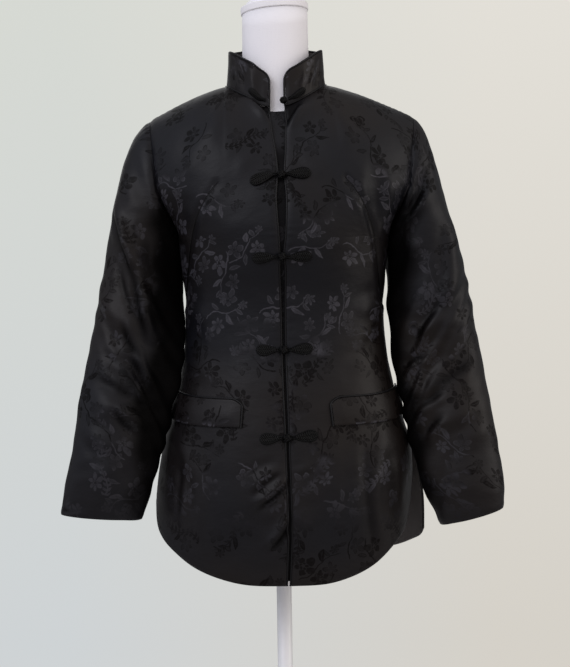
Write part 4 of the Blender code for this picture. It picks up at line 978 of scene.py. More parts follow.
class Panel:

    def __init__(self, name, grid, centreColumn):
        self.name = name
        self.grid = grid
        self.centreColumn = centreColumn
        self.across = runs(grid, 1)
        self.up = runs(grid, 0)
        normals = gridNormals(grid)
        outer = grid + normals * largeRelief(name, grid, normals)[..., None]
        normals = gridNormals(outer)
        outer = outer + normals * self.relief(outer, normals)[..., None]
        self.outer = outer
        self.normals = gridNormals(outer)
        self.uv = np.stack((self.across - self.across[:, [centreColumn]],
                            self.up + grid[0, :, 2]), axis=-1)

    def seams(self):
        sewn = np.arange(self.grid.shape[0])[:, None] >= ventStep
        left, right = self.across, self.across[:, -1:] - self.across
        side = {0: right, -1: left}.get(self.centreColumn, np.minimum(left, right))
        return side, self.up[-1:] - self.up, sewn

    def relief(self, points, normals):
        side, top, sewn = self.seams()
        f = finish
        seam = np.minimum(np.where(sewn, side, 1.0), top)
        edge = np.minimum(np.where(sewn, 1.0, side), self.up)
        if self.centreColumn in (0, -1):
            centre = self.across if self.centreColumn == 0 else self.across[:, -1:] - self.across
            edge = np.minimum(edge, centre)
        total, self.shade = creaseRelief(self.name, points, normals)
        self.shade = np.maximum(self.shade, hollowShade(self.name, points))
        total += dartRelief(self.name, points)
        soft = wadding(self.name, "panel", points)
        total += soft * smooth(0.0, 0.016, seam) * smooth(0.0, 0.008, edge)
        total += puckers(seam, np.where(side < top, self.up, self.across))
        total += puckers(edge, self.up) * 0.6
        total -= f["seamDip"] * bell(seam, f["seamReach"])
        total -= f["edgeDip"] * bell(edge, f["edgeReach"])
        return total

    def point(self, column, row, lift=0.0):
        row = min(max(row, 0.0), self.outer.shape[0] - 1.001)
        column = min(max(column, 0.0), self.outer.shape[1] - 1.001)
        r, c = int(row), int(column)
        fr, fc = row - r, column - c
        spot = mix(mix(self.outer[r, c], self.outer[r, c + 1], fc),
                   mix(self.outer[r + 1, c], self.outer[r + 1, c + 1], fc), fr)
        normal = mix(mix(self.normals[r, c], self.normals[r, c + 1], fc),
                     mix(self.normals[r + 1, c], self.normals[r + 1, c + 1], fc), fr)
        return Vector(spot) + Vector(normal).normalized() * lift

    def rowAt(self, column, z):
        c = min(int(column), self.outer.shape[1] - 2)
        heights = mix(self.outer[:, c, 2], self.outer[:, c + 1, 2], column - c)
        return float(np.interp(z, heights, np.arange(len(heights))))

    def columnAt(self, row, x):
        r = min(int(row), self.outer.shape[0] - 2)
        places = mix(self.outer[r, :, 0], self.outer[r + 1, :, 0], row - r)
        return float(np.interp(x, places, np.arange(len(places))))

    def place(self, x, z, lift):
        last = self.outer.shape[1] - 1
        edgeColumn = last if self.centreColumn == -1 else 0
        column = float(edgeColumn)
        for _ in range(4):
            row = self.rowAt(column, z)
            column = self.columnAt(row, x)
        spot = self.point(column, row, lift)
        edge = self.point(edgeColumn, row)
        past = x > edge.x if self.centreColumn == -1 else x < edge.x
        return Vector((x, spot.y, spot.z)) if past else spot


def dartRelief(piece, points):
    if piece not in darts:
        return 0.0
    line = darts[piece]["line"]
    nearest = np.full(points.shape[:-1], 1.0)
    for a, b in zip(line, line[1:]):
        nearest = np.minimum(nearest, alongLine(points, *a, *b)[2])
    d = dartShape
    front = smooth(0.03, -0.01, points[..., 1])
    groove = np.exp(-((nearest / d["groove"]) ** 2) / 2)
    swell = d["swell"] * bell(nearest - d["swellAt"], d["swellWidth"])
    return darts[piece]["depth"] * (swell - groove) * front


def frontPanel(name, side):
    rows = rowSteps[:, None]
    heights = bodyPoints(rows, np.array([[0.02]]), side, False)[..., 2]
    column = 2 if side > 0 else 1
    edge = tableAt(openingEdges, column, heights) + side * bodyShape["pipingReach"]
    steps = np.linspace(0, 1, neckSteps, endpoint=False)[None, :]
    neck = mix(shareAtX(rows, edge, side), bodyShape["neckShare"], steps)
    shoulder = np.linspace(bodyShape["neckShare"], 1.0, shoulderSteps + 1)[None, :]
    shares = np.concatenate((neck, np.broadcast_to(shoulder, (len(rowSteps), shoulderSteps + 1))), axis=1)
    grid = bodyPoints(rows, shares, side, False)
    grid[:, -1, 1] -= bodyShape["seamGap"] / 2
    grid[-1, neckSteps:, 1] -= bodyShape["seamGap"] / 2
    if side > 0:
        return Panel(name, grid, 0)
    return Panel(name, grid[:, ::-1].copy(), -1)


def backPanel():
    rows = rowSteps[:, None]
    shares = np.concatenate((np.linspace(0, bodyShape["neckShare"], neckSteps, endpoint=False),
                             np.linspace(bodyShape["neckShare"], 1.0, shoulderSteps + 1)))[None, :]
    left = bodyPoints(rows, shares, 1, True)
    right = bodyPoints(rows, shares, -1, True)
    for half in (left, right):
        half[:, -1, 1] += bodyShape["seamGap"] / 2
        half[-1, neckSteps:, 1] += bodyShape["seamGap"] / 2
    grid = np.concatenate((left[:, ::-1], right[:, 1:]), axis=1)
    return Panel("back", grid, neckSteps + shoulderSteps)


frontRight = frontPanel("frontRight", -1)
frontLeft = frontPanel("frontLeft", 1)
back = backPanel()
print("panels shaped:", frontRight.outer.shape, back.outer.shape)


# ---- meshes of cloth

def clothPiece(name, grid, uv, wall, material, closed=False, bevel=0.0011, shade=None):
    rows, columns = grid.shape[:2]
    steps = columns if closed else columns - 1
    points = grid.reshape(-1, 3)
    faces, corners = [], []
    for r in range(rows - 1):
        for c in range(steps):
            d = (c + 1) % columns
            faces.append((r * columns + c, r * columns + d, (r + 1) * columns + d, (r + 1) * columns + c))
            e = c + 1
            corners.append((uv[r, c], uv[r, e], uv[r + 1, e], uv[r + 1, c]))
    mesh = bpy.data.meshes.new(name)
    mesh.from_pydata(points.tolist(), [], faces)
    layer = mesh.uv_layers.new(name="UVMap")
    layer.data.foreach_set("uv", np.array(corners).ravel())
    # the shade attribute carries the painted shade to the satin
    if shade is not None:
        deep = mesh.attributes.new("shade", "FLOAT", "POINT")
        deep.data.foreach_set("value", shade.ravel())
    piece = smoothShaded(placed(name, mesh, material, liningWithPaintedLight))
    thick = piece.modifiers.new("wall", "SOLIDIFY")
    thick.thickness = wall
    thick.offset = -1
    thick.material_offset = 1
    if bevel:
        edge = piece.modifiers.new("edge", "BEVEL")
        edge.limit_method = "ANGLE"
        edge.angle_limit = math.radians(55)
        edge.width = bevel
        edge.segments = 2
    return settle(piece)


def settle(piece):
    graph = bpy.context.evaluated_depsgraph_get()
    mesh = bpy.data.meshes.new_from_object(piece.evaluated_get(graph), depsgraph=graph)
    old = piece.data
    piece.modifiers.clear()
    if piece.type == "CURVE":
        name = piece.name
        plain = placed(name, mesh)
        bpy.data.objects.remove(piece)
        plain.name = name
        plain.data.name = name
        return plain
    piece.data = mesh
    bpy.data.meshes.remove(old)
    mesh.name = piece.name
    return piece


def meshArea(grid):
    a = grid[1:, :-1] - grid[:-1, :-1]
    b = grid[:-1, 1:] - grid[:-1, :-1]
    return float(np.linalg.norm(np.cross(a, b), axis=-1).sum())


def declareCloth(piece, grid, node):
    wide = float(runs(grid, 1)[:, -1].max())
    long = float(runs(grid, 0)[-1].max())
    area = min(meshArea(grid), wide * long)
    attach(piece, "root")
    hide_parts(node)
    print(f"{piece.name}: cut {wide:.3f} x {long:.3f} m, {area:.3f} m2, {len(piece.data.polygons)} faces")


# ---- sleeves

sleeveRings = {  # share of the length, outer x, outer z, inner x, inner z, middle y, half depth
    -1: (
        (0.00, 0.1875, 1.355, 0.1470, 1.172, 0.000, 0.056),
        (0.07, 0.2090, 1.327, 0.1480, 1.160, 0.000, 0.062),
        (0.18, 0.2300, 1.272, 0.1490, 1.143, -0.003, 0.062),
        (0.29, 0.2450, 1.205, 0.1490, 1.118, -0.008, 0.058),
        (0.40, 0.2580, 1.135, 0.1455, 1.085, -0.013, 0.054),
        (0.51, 0.2680, 1.070, 0.1430, 1.045, -0.022, 0.050),
        (0.62, 0.2790, 1.005, 0.1460, 0.995, -0.035, 0.047),
        (0.72, 0.2890, 0.945, 0.1530, 0.942, -0.054, 0.044),
        (0.83, 0.2990, 0.880, 0.1660, 0.885, -0.064, 0.040),
        (0.93, 0.3100, 0.825, 0.1860, 0.822, -0.068, 0.036),
        (1.00, 0.3170, 0.787, 0.1990, 0.777, -0.070, 0.031),
    ),
    1: (
        (0.00, 0.2025, 1.355, 0.1620, 1.172, 0.000, 0.056),
        (0.07, 0.2180, 1.329, 0.1630, 1.160, 0.000, 0.062),
        (0.18, 0.2380, 1.262, 0.1640, 1.143, -0.003, 0.062),
        (0.29, 0.2560, 1.195, 0.1635, 1.118, -0.008, 0.058),
        (0.40, 0.2710, 1.130, 0.1605, 1.085, -0.013, 0.054),
        (0.51, 0.2830, 1.065, 0.1605, 1.045, -0.019, 0.050),
        (0.62, 0.2940, 0.995, 0.1640, 0.992, -0.026, 0.047),
        (0.72, 0.3010, 0.935, 0.1730, 0.938, -0.044, 0.044),
        (0.83, 0.3100, 0.875, 0.1850, 0.878, -0.052, 0.040),
        (0.93, 0.3170, 0.820, 0.2010, 0.815, -0.061, 0.036),
        (1.00, 0.3160, 0.786, 0.2240, 0.762, -0.065, 0.031),
    ),
}
sleeveShape = {
    "rings": 150,
    "square": 2.2,
    "gap": 0.0006,
    "allowance": 0.006,
    "fade": 0.22,  # share of the length over which the armhole's form dies away
    "recess": {-1: 0.017, 1: 0.013},
    "fullness": 1.3,  # of the puckers and the swell at the seam
    "cuffDip": 0.0012,
    "wrinkles": {"elbow": 0.0021, "upper": 0.0013, "lower": 0.0010},
}
sleeveNestle = {  # height, shift of the inner side towards the body, further shift of its back part
    -1: ((0.980, 0.0, 0.0), (1.030, 0.0025, 0.000), (1.070, 0.0040, 0.002), (1.105, 0.0040, 0.006),
         (1.140, 0.0030, 0.008), (1.160, 0.0015, 0.004), (1.172, 0.0, 0.0)),
    1: ((1.060, 0.0, 0.0), (1.090, 0.0010, 0.002), (1.120, 0.0020, 0.007), (1.145, 0.0025, 0.008),
        (1.160, 0.0015, 0.004), (1.172, 0.0, 0.0)),
}


sleevePress = {  # height, how far the inner front leans over the body's side
    -1: (
        (0.930, 0.0), (0.955, 0.0050), (0.980, 0.0068), (1.010, 0.0066), (1.030, 0.0052), (1.046, 0.0030),
        (1.054, 0.0004), (1.062, 0.0), (1.094, 0.0), (1.104, 0.0016), (1.120, 0.0030), (1.150, 0.0015),
        (1.172, 0.0),
    ),
    1: ((1.000, 0.0), (1.060, 0.0), (1.172, 0.0)),
}
sleeveShade = {  # height, how far out the part that lies in the body's shade reaches, strength
    -1: (
        (0.760, 0.220, 0.10), (0.795, 0.219, 0.55), (0.829, 0.214, 0.90), (0.887, 0.210, 1.00),
        (0.945, 0.207, 1.00), (0.988, 0.199, 1.00), (1.017, 0.188, 1.00), (1.046, 0.185, 1.00),
        (1.089, 0.187, 1.00), (1.147, 0.189, 1.00), (1.176, 0.187, 1.00), (1.205, 0.182, 0.95),
        (1.228, 0.174, 0.60), (1.250, 0.168, 0.0),
    ),
    1: (
        (0.755, 0.230, 0.10), (0.793, 0.226, 0.50), (0.822, 0.219, 0.85), (0.880, 0.209, 1.00),
        (0.938, 0.195, 1.00), (0.967, 0.186, 1.00), (1.040, 0.184, 1.00), (1.083, 0.186, 1.00),
        (1.112, 0.194, 1.00), (1.155, 0.201, 1.00), (1.184, 0.202, 0.90), (1.227, 0.198, 0.75),
        (1.250, 0.190, 0.0),
    ),
}


# painted shade on the sleeves' inner sides, where they lie against the body
def shadeOf(side, points, normals):
    table = sleeveShade[side]
    height = points[..., 2]
    wander = np.sin(height * 95.0) * 0.004 + np.sin(height * 41.0 + 1.0) * 0.004
    reach = tableAt(table, 1, height) + wander - side * points[..., 0]
    seen = mix(0.45, 1.0, smooth(0.3, -0.3, normals[..., 1]))
    return smooth(-0.010, 0.016, reach) * np.clip(tableAt(table, 2, height), 0, 1) * seen


def sleeveRing(table, share, side, turns):
    outer = np.array((side * tableAt(table, 1, share), tableAt(table, 5, share), tableAt(table, 2, share)))
    inner = np.array((side * tableAt(table, 3, share), tableAt(table, 5, share), tableAt(table, 4, share)))
    centre = (outer + inner) / 2
    power = 2 / sleeveShape["square"]
    along = np.sign(np.cos(turns)) * np.abs(np.cos(turns)) ** power
    deep = np.sign(np.sin(turns)) * np.abs(np.sin(turns)) ** power
    ring = centre + (outer - centre) * along[:, None]
    ring[:, 1] -= tableAt(table, 6, share) * deep
    return ring


def ringOf(ahead, behind):
    top, bottom = (ahead[-1] + behind[-1]) / 2, (ahead[0] + behind[0]) / 2
    return np.concatenate(([top], ahead[-2:0:-1], [bottom], behind[1:-1]))


def hangingRing(share, side, turns, slack):
    s = sleeveShape
    keep = 1 - smooth(0.0, s["fade"], share)
    ring = sleeveRing(sleeveRings[side], share, side, turns) + slack * keep
    hollow = float(smooth(0.06, 0.26, share) * (1 - 0.75 * smooth(0.72, 0.98, share)))
    hollow = hollow * smooth(-0.25, 0.85, -np.cos(turns)) * np.maximum(np.sin(turns), 0.0) ** 0.7
    ring[:, 1] += s["recess"][side] * hollow
    inner = smooth(0.2, 1.0, -np.cos(turns))
    behind = smooth(0.1, -0.8, np.sin(turns))
    nestle = sleeveNestle[side]
    ring[:, 0] -= side * inner * (tableAt(nestle, 1, ring[:, 2]) + tableAt(nestle, 2, ring[:, 2]) * behind)
    lean = inner * bell(np.sin(turns) - 0.25, 0.30)
    ring[:, 0] -= side * lean * tableAt(sleevePress[side], 1, ring[:, 2])
    return ring


def wrapped(grid):
    return np.concatenate((grid, grid[:, :1]), axis=1)


def sleeveGrid(name, front, side):
    s, f = sleeveShape, finish
    ahead, behind = (-1, 0) if side > 0 else (0, -1)
    loop = ringOf(front.outer[underarmStep:, ahead], back.outer[underarmStep:, behind])
    loop[:, 0] += side * s["gap"]
    inward = unit(ringOf(-front.normals[underarmStep:, ahead], -back.normals[underarmStep:, behind]))
    angles = math.pi * (topRow - rowSteps[underarmStep:]) / (armholeRows + yokeRows)
    turns = np.concatenate(([0.0], angles[-2:0:-1], [math.pi], 2 * math.pi - angles[1:-1]))
    slack = loop - sleeveRing(sleeveRings[side], 0.0, side, turns)
    shares = (np.arange(1, s["rings"] + 1) / s["rings"]) ** 1.05
    grid = np.array([loop] + [hangingRing(share, side, turns, slack) for share in shares])
    if side > 0:
        grid = np.concatenate((grid[:, :1], grid[:, :0:-1]), axis=1)
        inward = np.concatenate((inward[:1], inward[:0:-1]))
    down = runs(grid, 0)
    toCuff = down[-1:] - down
    normals = -gridNormals(grid, True)
    outer = grid + normals * (largeRelief(name, grid, normals) * (down > 0))[..., None]
    normals = -gridNormals(outer, True)
    relief, shade = creaseRelief(name, outer, normals)
    relief += sleeveWrinkles(side, outer, down / down[-1:].mean(), normals)
    relief += wadding(name, "sleeve", outer) * smooth(0.0, 0.016, down) * smooth(0.0, 0.012, toCuff)
    relief += puckers(down, runs(wrapped(grid), 1)[:, :-1]) * s["fullness"]
    rise = f["seamDip"] * s["fullness"] * (1 - bell(down, f["seamReach"]))
    relief += rise * (1 - smooth(0.0, 0.16, down))
    relief -= s["cuffDip"] * bell(toCuff, f["edgeReach"])
    outer = outer + normals * (relief * smooth(0.0, 0.002, down))[..., None]
    shade = np.maximum(shade, shadeOf(side, outer, normals))
    # the pattern is laid square to the arm, because the armhole slants
    axis = unit(grid[-1].mean(axis=0) - grid[0].mean(axis=0))
    level = (grid - grid[-1].mean(axis=0)) @ axis
    uv = np.stack((runs(wrapped(grid - level[..., None] * axis), 1), -wrapped(level)), axis=-1)
    # the seam allowance turns in behind the body's edge
    outer = np.concatenate(((outer[0] + inward * s["allowance"])[None], outer))
    uv = np.concatenate((uv[:1] + np.array((0.0, -s["allowance"])), uv))
    return outer, uv, np.concatenate((shade[:1], shade))


def sleeveWrinkles(side, points, share, normals):
    inside = smooth(-0.2, 0.7, -side * normals[..., 0])
    turn = points[..., 0] * side * 9.0
    elbow = bell(share - 0.52, 0.17) * np.sin(share * 74.0 + turn + 1.3 * np.sin(share * 23.0 + side))
    upper = bell(share - 0.20, 0.10) * np.sin(share * 46.0 - turn * 1.6 + side)
    lower = bell(share - 0.80, 0.12) * np.sin(share * 52.0 + turn * 0.8)
    high = sleeveShape["wrinkles"]
    spread = 0.45 + 0.55 * inside
    return high["elbow"] * elbow * spread + high["upper"] * upper * inside + high["lower"] * lower * spread


sleeveRightGrid, sleeveRightUv, sleeveRightShade = sleeveGrid("sleeveRight", frontRight, -1)
sleeveLeftGrid, sleeveLeftUv, sleeveLeftShade = sleeveGrid("sleeveLeft", frontLeft, 1)
print("sleeves shaped:", sleeveRightGrid.shape)


# ---- collar

collarShape = {
    "front": 0.049,
    "side": 0.052,
    "back": 0.057,
    "corner": 0.013,
    "sideDip": 0.0028,
    "dipAt": 0.52,  # share of the way from the front to the middle of the back
    "dipWidth": 0.09,
    "lean": 0.0035,
    "bow": 0.0015,
    "seat": 0.0005,
    "wall": 0.003,
    "rows": 16,
    "middleY": 0.001,
    "padding": 0.0006,
}
edgePiping = {"radius": 0.00155, "seamRadius": 0.0014, "seamOut": 0.0005, "sides": 12, "frontRise": 0.0022}


def pathRuns(points):
    return np.concatenate(([0.0], np.cumsum(np.linalg.norm(np.diff(points, axis=0), axis=1))))


def pathAt(points, lengths, places):
    return np.stack([np.interp(places, lengths, points[:, k]) for k in range(3)], axis=-1)


def neckLine():
    middle = neckSteps + shoulderSteps
    left = frontLeft.outer[-1, : neckSteps + 1]
    behind = back.outer[-1, middle - neckSteps: middle + neckSteps + 1]
    right = frontRight.outer[-1, -neckSteps - 1:]
    return np.concatenate((left[:-1], behind, right[1:]))


def softened(points, passes):
    for _ in range(passes):
        inner = (points[:-2] + points[1:-1] * 2 + points[2:]) / 4
        points = np.concatenate((points[:1], inner, points[-1:]))
    return points


neckSeam = softened(neckLine(), 3)
neckLengths = pathRuns(neckSeam)
neckTotal = neckLengths[-1]


def collarHeight(distance):
    c = collarShape
    near = np.minimum(distance, neckTotal - distance)
    share = near / (neckTotal / 2)
    full = mix(c["front"], c["side"], smooth(0.0, 0.5, share))
    full = full + (c["back"] - c["side"]) * smooth(0.5, 1.0, share)
    full = full - c["sideDip"] * bell(share - c["dipAt"], c["dipWidth"])
    inCorner = np.minimum(near, c["corner"])
    return full - (c["corner"] - np.sqrt(np.maximum(c["corner"] ** 2 - (c["corner"] - inCorner) ** 2, 0)))


def collarPoint(distance, share, out=0.0):
    c = collarShape
    distance, share = np.broadcast_arrays(np.asarray(distance, float), np.asarray(share, float))
    base = pathAt(neckSeam, neckLengths, distance.ravel()).reshape(distance.shape + (3,))
    base = base + np.array((0, 0, c["seat"]))
    inward = unit(np.stack((-base[..., 0], c["middleY"] - base[..., 1], 0 * base[..., 0]), axis=-1))
    lean = c["lean"] * share + c["bow"] * np.sin(math.pi * share) - out
    top = collarHeight(distance) * share
    return base + inward * lean[..., None] + np.stack((0 * top, 0 * top, top), axis=-1)


collarCreases = (  # middle along the neck seam from the left front, lean, spread, height
    (0.030, 0.006, 0.0035, 0.0016),
    (0.052, 0.010, 0.0030, 0.0022),
    (0.066, 0.008, 0.0040, -0.0016),
    (0.110, -0.006, 0.0050, 0.0016),
    (0.205, 0.006, 0.0060, 0.0014),
    (0.290, -0.007, 0.0055, 0.0015),
    (0.372, -0.008, 0.0035, 0.0020),
    (0.386, -0.006, 0.0030, -0.0014),
    (0.404, -0.005, 0.0035, 0.0016),
)
cornerStops = collarShape["corner"] * (1 - np.cos(np.linspace(0, math.pi / 2, 11)))
evenStops = np.linspace(cornerStops[-1], neckTotal - cornerStops[-1], 132)[1:-1]
collarStops = np.concatenate((cornerStops, evenStops, (neckTotal - cornerStops)[::-1]))
collarRows = np.linspace(0, 1, collarShape["rows"] + 1)[:, None]


def collarRipples(grid):
    padding = np.sin(math.pi * collarRows)
    ripple = softness(grid, 8, 0.022, (1, 1, 0.6)) * 0.0009 + softness(grid, 9, 0.05) * 0.0008
    for spot, lean, spread, height in collarCreases:
        aside = (collarStops[None, :] - spot - lean * (2 * collarRows - 1)) / spread
        ripple = ripple + height * np.exp(-(aside**2) / 2) * padding**0.5
    nearEnd = np.minimum(collarStops, neckTotal - collarStops)[None, :]
    return (collarShape["padding"] * np.sqrt(padding) + ripple * padding) * smooth(0.0, 0.008, nearEnd)


collarGrid = collarPoint(collarStops[None, :], collarRows)
collarNormals = gridNormals(collarGrid)
collarGrid = collarGrid + collarNormals * collarRipples(collarGrid)[..., None]
collarUv = np.stack(np.broadcast_arrays(collarStops[None, :], runs(collarGrid, 0) + 0.9), axis=-1)


# ---- cords, pipings and plaits: one node tree sweeps a round section along every path

def cordTree():
    tree = bpy.data.node_groups.new("sweptCord", "GeometryNodeTree")
    face = tree.interface
    face.new_socket("Geometry", in_out="INPUT", socket_type="NodeSocketGeometry")
    for name, kind in (("Radius", "Float"), ("Sides", "Int"), ("Material", "Material")):
        face.new_socket(name, in_out="INPUT", socket_type="NodeSocket" + kind)
    face.new_socket("Geometry", in_out="OUTPUT", socket_type="NodeSocketGeometry")
    add, link = tree.nodes.new, tree.links.new
    source, result = add("NodeGroupInput"), add("NodeGroupOutput")

    def stored(geometry, name, value):
        node = add("GeometryNodeStoreNamedAttribute")
        node.data_type, node.domain = "FLOAT", "POINT"
        node.inputs["Name"].default_value = name
        link(geometry, node.inputs["Geometry"])
        link(value, node.inputs["Value"])
        return node.outputs[0]

    along, around = add("GeometryNodeSplineParameter"), add("GeometryNodeSplineParameter")
    path = stored(source.outputs["Geometry"], "alongCord", along.outputs["Length"])
    circle = add("GeometryNodeCurvePrimitiveCircle")
    link(source.outputs["Sides"], circle.inputs["Resolution"])
    link(source.outputs["Radius"], circle.inputs["Radius"])
    section = stored(circle.outputs[0], "roundCord", around.outputs["Factor"])
    sweep = add("GeometryNodeCurveToMesh")
    sweep.inputs["Fill Caps"].default_value = True
    link(path, sweep.inputs["Curve"])
    link(section, sweep.inputs["Profile Curve"])
    radius = add("GeometryNodeInputRadius")
    if "Scale" in sweep.inputs:
        link(radius.outputs[0], sweep.inputs["Scale"])
    shade, dress = add("GeometryNodeSetShadeSmooth"), add("GeometryNodeSetMaterial")
    link(sweep.outputs[0], shade.inputs[0])
    link(shade.outputs[0], dress.inputs["Geometry"])
    link(source.outputs["Material"], dress.inputs["Material"])
    link(dress.outputs[0], result.inputs[0])
    return tree


cordNodes = cordTree()


def cordMesh(name, paths, radius, material, sides=12, closed=False, tapers=None):
    curve = bpy.data.curves.new(name, "CURVE")
    curve.dimensions = "3D"
    curve.twist_mode = "MINIMUM"
    for k, points in enumerate(paths):
        spline = curve.splines.new("POLY")
        spline.points.add(len(points) - 1)
        spline.points.foreach_set("co", np.array([(*p, 1.0) for p in points]).ravel())
        spline.use_cyclic_u = closed
        if tapers is not None:
            spline.points.foreach_set("radius", tapers[k])
    holder = placed(name, curve)
    modifier = holder.modifiers.new("sweep", "NODES")
    modifier.node_group = cordNodes
    values = {"Radius": radius, "Sides": sides, "Material": material}
    for item in cordNodes.interface.items_tree:
        if item.in_out == "INPUT" and item.name in values:
            modifier[item.identifier] = values[item.name]
    return settle(holder)


def joined(name, pieces):
    shape = bmesh.new()
    materials = []
    for piece in pieces:
        start = len(shape.faces)
        shape.from_mesh(piece.data)
        shape.faces.ensure_lookup_table()
        for material in piece.data.materials:
            if material not in materials:
                materials.append(material)
        for face in shape.faces[start:]:
            face.material_index = materials.index(piece.data.materials[face.material_index])
    for piece in pieces:
        old = piece.data
        bpy.data.objects.remove(piece)
        bpy.data.meshes.remove(old)
    return shaped(name, shape, *materials)


def declare(piece, node):
    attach(piece, "root")
    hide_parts(node)


wall = bodyShape["wall"]
cloth = {
    "frontRight": (frontRight.outer, frontRight.uv, satinFront, "front_right", frontRight.shade),
    "frontLeft": (frontLeft.outer, frontLeft.uv, satinFront, "front_left", frontLeft.shade),
    "backPanel": (back.outer, back.uv, satinBack, "back", back.shade),
}
pieces = {}
for name, (grid, uv, finishing, node, shade) in cloth.items():
    pieces[name] = clothPiece(name, grid, uv, wall, finishing, shade=shade)
sleeves = {"sleeveRight": (sleeveRightGrid, sleeveRightUv, "sleeve_right", sleeveRightShade),
           "sleeveLeft": (sleeveLeftGrid, sleeveLeftUv, "sleeve_left", sleeveLeftShade)}
for name, (grid, uv, node, shade) in sleeves.items():
    pieces[name] = clothPiece(name, grid[::-1], uv[::-1], wall, satinSleeve, closed=True, shade=shade[::-1])
pieces["standCollar"] = clothPiece("standCollar", collarGrid, collarUv, collarShape["wall"], satinTrim,
                                   bevel=0.0009)
print("body, sleeves and collar made")


# ---- pipings

def outwardAt(places):
    return unit(np.stack((places[:, 0], places[:, 1] - collarShape["middleY"], 0 * places[:, 0]), axis=-1))


def awayFrom(spots, places, directions):
    directions = unit(directions)
    return directions * np.sign(np.einsum("ij,ij->i", directions, places - spots))[:, None]


def collarPipingPath():
    c = collarShape
    rows = np.linspace(0.0, 1, 16)[:-1]
    ends = [(0.0, r) for r in rows] + [(d, 1.0) for d in collarStops] + [(neckTotal, r) for r in rows[::-1]]
    places = np.array([collarPoint(d, s, -c["wall"] / 2) for d, s in ends])
    near = np.array([collarPoint(min(max(d, 0.02), neckTotal - 0.02), 0.5) for d, _ in ends])
    away = awayFrom(near, places, np.cross(outwardAt(places), np.gradient(places, axis=0)))
    return places + away * (edgePiping["radius"] - 0.0002)


def frontPipingPath(panel, side):
    column = panel.centreColumn
    spots, normals = panel.outer[:, column], panel.normals[:, column]
    path = softened(spots - normals * wall / 2, 2)
    path[:, 0] -= side * edgePiping["radius"]
    path[-1, 2] += edgePiping["frontRise"]
    return path


def neckPipingPath():
    outward = outwardAt(neckSeam)
    rise = mix(0.0022, 0.0012, smooth(0.3, -0.9, outward[:, 1]))
    return neckSeam + outward * edgePiping["seamOut"] + np.stack((0 * rise, 0 * rise, rise), axis=-1)


pipingPaths = {
    "collarPiping": (collarPipingPath(), "collar_piping"),
    "neckSeamPiping": (neckPipingPath(), "neck_seam_piping"),
    "frontPipingRight": (frontPipingPath(frontRight, -1), "front_piping_right"),
    "frontPipingLeft": (frontPipingPath(frontLeft, 1), "front_piping_left"),
}
for name, (path, node) in pipingPaths.items():
    radius = edgePiping["seamRadius" if name == "neckSeamPiping" else "radius"]
    pieces[name] = cordMesh(name, [path], radius, pipingFinish, edgePiping["sides"])
    declare(pieces[name], node)
print("pipings made")


# ---- pocket welts and underlap

welt = {
    "endX": 0.063,
    "wall": 0.0035,
    "lift": 0.0006,
    "puff": 0.0016,
    "cornerShare": 0.10,
    "cornerDrop": 0.008,
    "stop": 3.0,
    "rows": 12,
    "columns": 76,
    "piping": edgePiping["radius"] * 0.9,
    "edges": ((0.0, 0.9100, 0.9480), (0.5, 0.9120, 0.9500), (1.0, 0.9210, 0.9580)),
}


def weltGrid(panel, side, lift, puff):
    w = welt
    last = panel.outer.shape[1] - 1
    centre = 0 if side > 0 else last
    startZ = (w["edges"][0][1] + w["edges"][0][2]) / 2
    row = panel.rowAt(abs(centre - 12), startZ)
    first = panel.columnAt(row, bodyShape["hang"] + side * w["endX"])
    end = abs(last - centre - w["stop"])
    lines = []
    for k in range(w["rows"] + 1):
        height = k / w["rows"]
        line = []
        for i in range(w["columns"] + 1):
            share = (i / w["columns"]) ** 1.15
            column = mix(first, end, share)
            drop = w["cornerDrop"] * max(1 - share / w["cornerShare"], 0.0) ** 2
            low, high = tableAt(w["edges"], 1, share), tableAt(w["edges"], 2, share) - drop
            at = panel.rowAt(column, mix(low, high, height))
            swell = puff * math.sin(math.pi * min(height * 1.1, 1.0)) * min(share * 12, 1.0)
            line.append(panel.point(column, at, lift + swell))
        lines.append(line)
    grid = np.array(lines)
    return grid if side > 0 else grid[:, ::-1]


def weltPipingPath(face, behind, side):
    column, across = (0, 1) if side > 0 else (-1, -1)
    edge, outs = (np.concatenate((grid[:-1, column], grid[-1][::across])) for grid in (behind, face - behind))
    middle = behind[4, behind.shape[1] // 2]
    away = awayFrom(middle, edge, np.cross(np.gradient(edge, axis=0), unit(outs)))
    return softened(edge + away * welt["piping"], 2)


for name, panel, side, node in (("pocketWeltRight", frontRight, -1, "pocket_welt_right"),
                                ("pocketWeltLeft", frontLeft, 1, "pocket_welt_left")):
    face = weltGrid(panel, side, welt["lift"] + welt["wall"], welt["puff"])
    behind = weltGrid(panel, side, welt["lift"] + welt["wall"] / 2, 0.0)
    uv = np.stack((runs(face, 1), runs(face, 0) + 0.3), axis=-1)
    pieces[name] = clothPiece(name, face, uv, welt["wall"] - 0.0004, satinTrim, bevel=0.0009)
    cloth[name] = (face, uv, satinTrim, node)
    path = weltPipingPath(face, behind, side)
    pieces[name + "Piping"] = cordMesh(name + "Piping", [path], welt["piping"], pipingFinish)
    declare(pieces[name + "Piping"], node + "_piping")

underlapShape = {
    "right": -0.022,
    "left": 0.034,
    "depth": 0.0048,  # behind the fronts' outer face
    "topDepth": 0.0070,
    "topDrop": 0.006,
    "hemRise": 0.006,
    "wall": 0.002,
    "columns": 18,
    "shade": 0.75,  # strength and heights of the shade under the closed fronts
    "shadeTop": 1.312,
    "shadeFull": 1.285,
}


